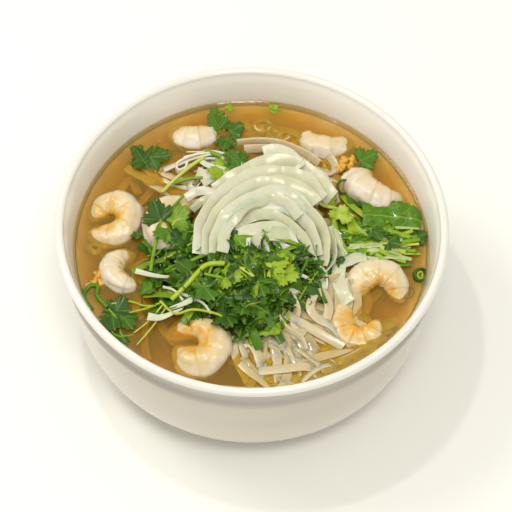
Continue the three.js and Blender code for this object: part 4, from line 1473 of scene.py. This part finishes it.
def cut_ring(name, middle, radius, wall, thick, tip, turn, tone):
    """Six corners round the wall of the ring, wavy as the cut left it and a little squashed."""
    section = [(-wall, -thick), (wall, -thick), (wall * 1.2, 0), (wall, thick), (-wall, thick),
               (-wall * 1.2, 0)]
    place = Matrix.Rotation(math.radians(turn), 3, "Z") @ Matrix.Rotation(math.radians(tip), 3, "X")
    centre = Vector(over_broth([middle])[0])
    corners, points, faces = len(section), [], []
    for i in range(RING_SIDES):
        angle = 2 * math.pi * i / RING_SIDES
        for across, rise in section:
            reach = radius * (1 + 0.05 * math.cos(3 * angle)) + across
            corner = Vector((reach * math.cos(angle), 0.86 * reach * math.sin(angle),
                             rise + 0.2 * math.sin(2 * angle)))
            points.append((place @ corner + centre) * MM)
    for i in range(RING_SIDES):
        here, beyond = i * corners, (i + 1) % RING_SIDES * corners
        for k in range(corners):
            n = (k + 1) % corners
            faces.append((here + k, beyond + k, beyond + n, here + n))
    piece = mesh_piece(name, points, faces, LEAF_GREEN)
    note(piece, tone=tone)
    weld(piece)
    keep(piece, "herb", "herbs_side")


for ring in CUT_RINGS:
    cut_ring(*ring)

# ---- Drops and bubbles ------------------------------------------------------------------------
# Small beads of broth that cling to the leaves, and a few bubbles at the noodles.
BEAD_COUNT = 230
# bubbles: middle, count and how widely they lie
BUBBLES = ((30, -38, 16, 3.5), (52, -44, 9, 2.5), (-20, 80, 4, 5), (4, -56, 8, 4), (-46, 66, 3, 3))


def bead(name, flatness):
    rows, sides = 5, 8
    points = [(MM * p.x, MM * p.y, MM * flatness * p.z) for p in ball(rows, sides)]
    piece = mesh_piece(name, points, [(a, d, c, b) for a, b, c, d in cells(rows, sides)])
    weld(piece)
    return piece


def clear_drop():
    finish = Finish("drop of broth")
    mask = finish.grain(300, 900, 0.05, 0.0001)
    colour = finish.ramp(mask, [(0.3, (0.97, 0.97, 0.90)), (0.7, (1, 1, 0.97))])
    return finish.done(colour, {
        "Roughness": 0.02, "IOR": 1.33, "Transmission Weight": 0.85, "Coat Weight": 1.0,
        "Coat Roughness": 0.02})


def bead_spots():
    rng = random.Random(77)
    level = (0, 0, 0)
    spots = []
    for k in range(BEAD_COUNT):
        angle = rng.uniform(0, 2 * math.pi)
        x, y = in_heap(HERB_MIDDLE, herb_reach, angle, math.sqrt(rng.uniform(0, 1)) * 0.95)
        if not under_onion(x, y):
            z = herb_top(x, y) + rng.uniform(0.2, 2)
            spots.append((x, y, z, level, rng.uniform(0.3, 0.6), 0, 0))
    for x, y, count, breadth in BUBBLES:
        for k in range(count):
            bx, by = x + rng.gauss(0, breadth), y + rng.gauss(0, breadth)
            spots.append((bx, by, LEVEL + 0.25, level, rng.uniform(0.35, 0.85), 1, 0))
    return spots


BEAD_SHAPES = shape_box("bead shapes", [bead("bead_0", 1.0), bead("bead_1", 0.7)])
keep(strewn("drops_and_bubbles", bead_spots(), BEAD_SHAPES, clear_drop()), "broth", "broth")

# ---- Floor and light --------------------------------------------------------------------------
# A pale sheet, a wide window at the back left, a lamp over the front and a bare bulb.
FLOOR_COLOUR = (0.89, 0.885, 0.82, 1)
FLOOR_HALF = 3
LAMP_COLOUR = (1.0, 0.98, 0.95)
LAMP_AIM = (0, 0, 0.07)
ROOM_COLOUR = (1.0, 0.985, 0.95, 1)
ROOM_STRENGTH = 0.70
# name, place, size and power
LAMPS = [
    ("window", (-0.75, 0.30, 1.15), 0.5, 5.0),
    ("lamp", (0.1, -0.45, 1.28), 0.35, 5.0),
    ("bulb", (-0.22, 0.12, 1.1), 0.05, 1.6),
]

corners = [(x * FLOOR_HALF, y * FLOOR_HALF, 0) for x, y in ((-1, -1), (1, -1), (1, 1), (-1, 1))]
pale = Finish("pale floor")
pale.shader.inputs["Base Color"].default_value = FLOOR_COLOUR
pale.shader.inputs["Roughness"].default_value = 0.9
mesh_piece("floor", corners, [(0, 1, 2, 3)], pale.material)


def area_light(name, place, size, power):
    lamp = bpy.data.lights.new(name, "AREA")
    lamp.shape = "DISK"
    lamp.size = size
    lamp.energy = power
    lamp.color = LAMP_COLOUR
    holder = bpy.data.objects.new(name, lamp)
    holder.location = place
    holder.rotation_mode = "QUATERNION"
    holder.rotation_quaternion = (Vector(LAMP_AIM) - Vector(place)).to_track_quat("-Z", "Y")
    bpy.context.collection.objects.link(holder)


for lamp in LAMPS:
    area_light(*lamp)
world = bpy.data.worlds.new("room")
world.use_nodes = True
background = world.node_tree.nodes["Background"]
background.inputs["Color"].default_value = ROOM_COLOUR
background.inputs["Strength"].default_value = ROOM_STRENGTH
bpy.context.scene.world = world
bpy.context.scene.view_settings.view_transform = "Standard"
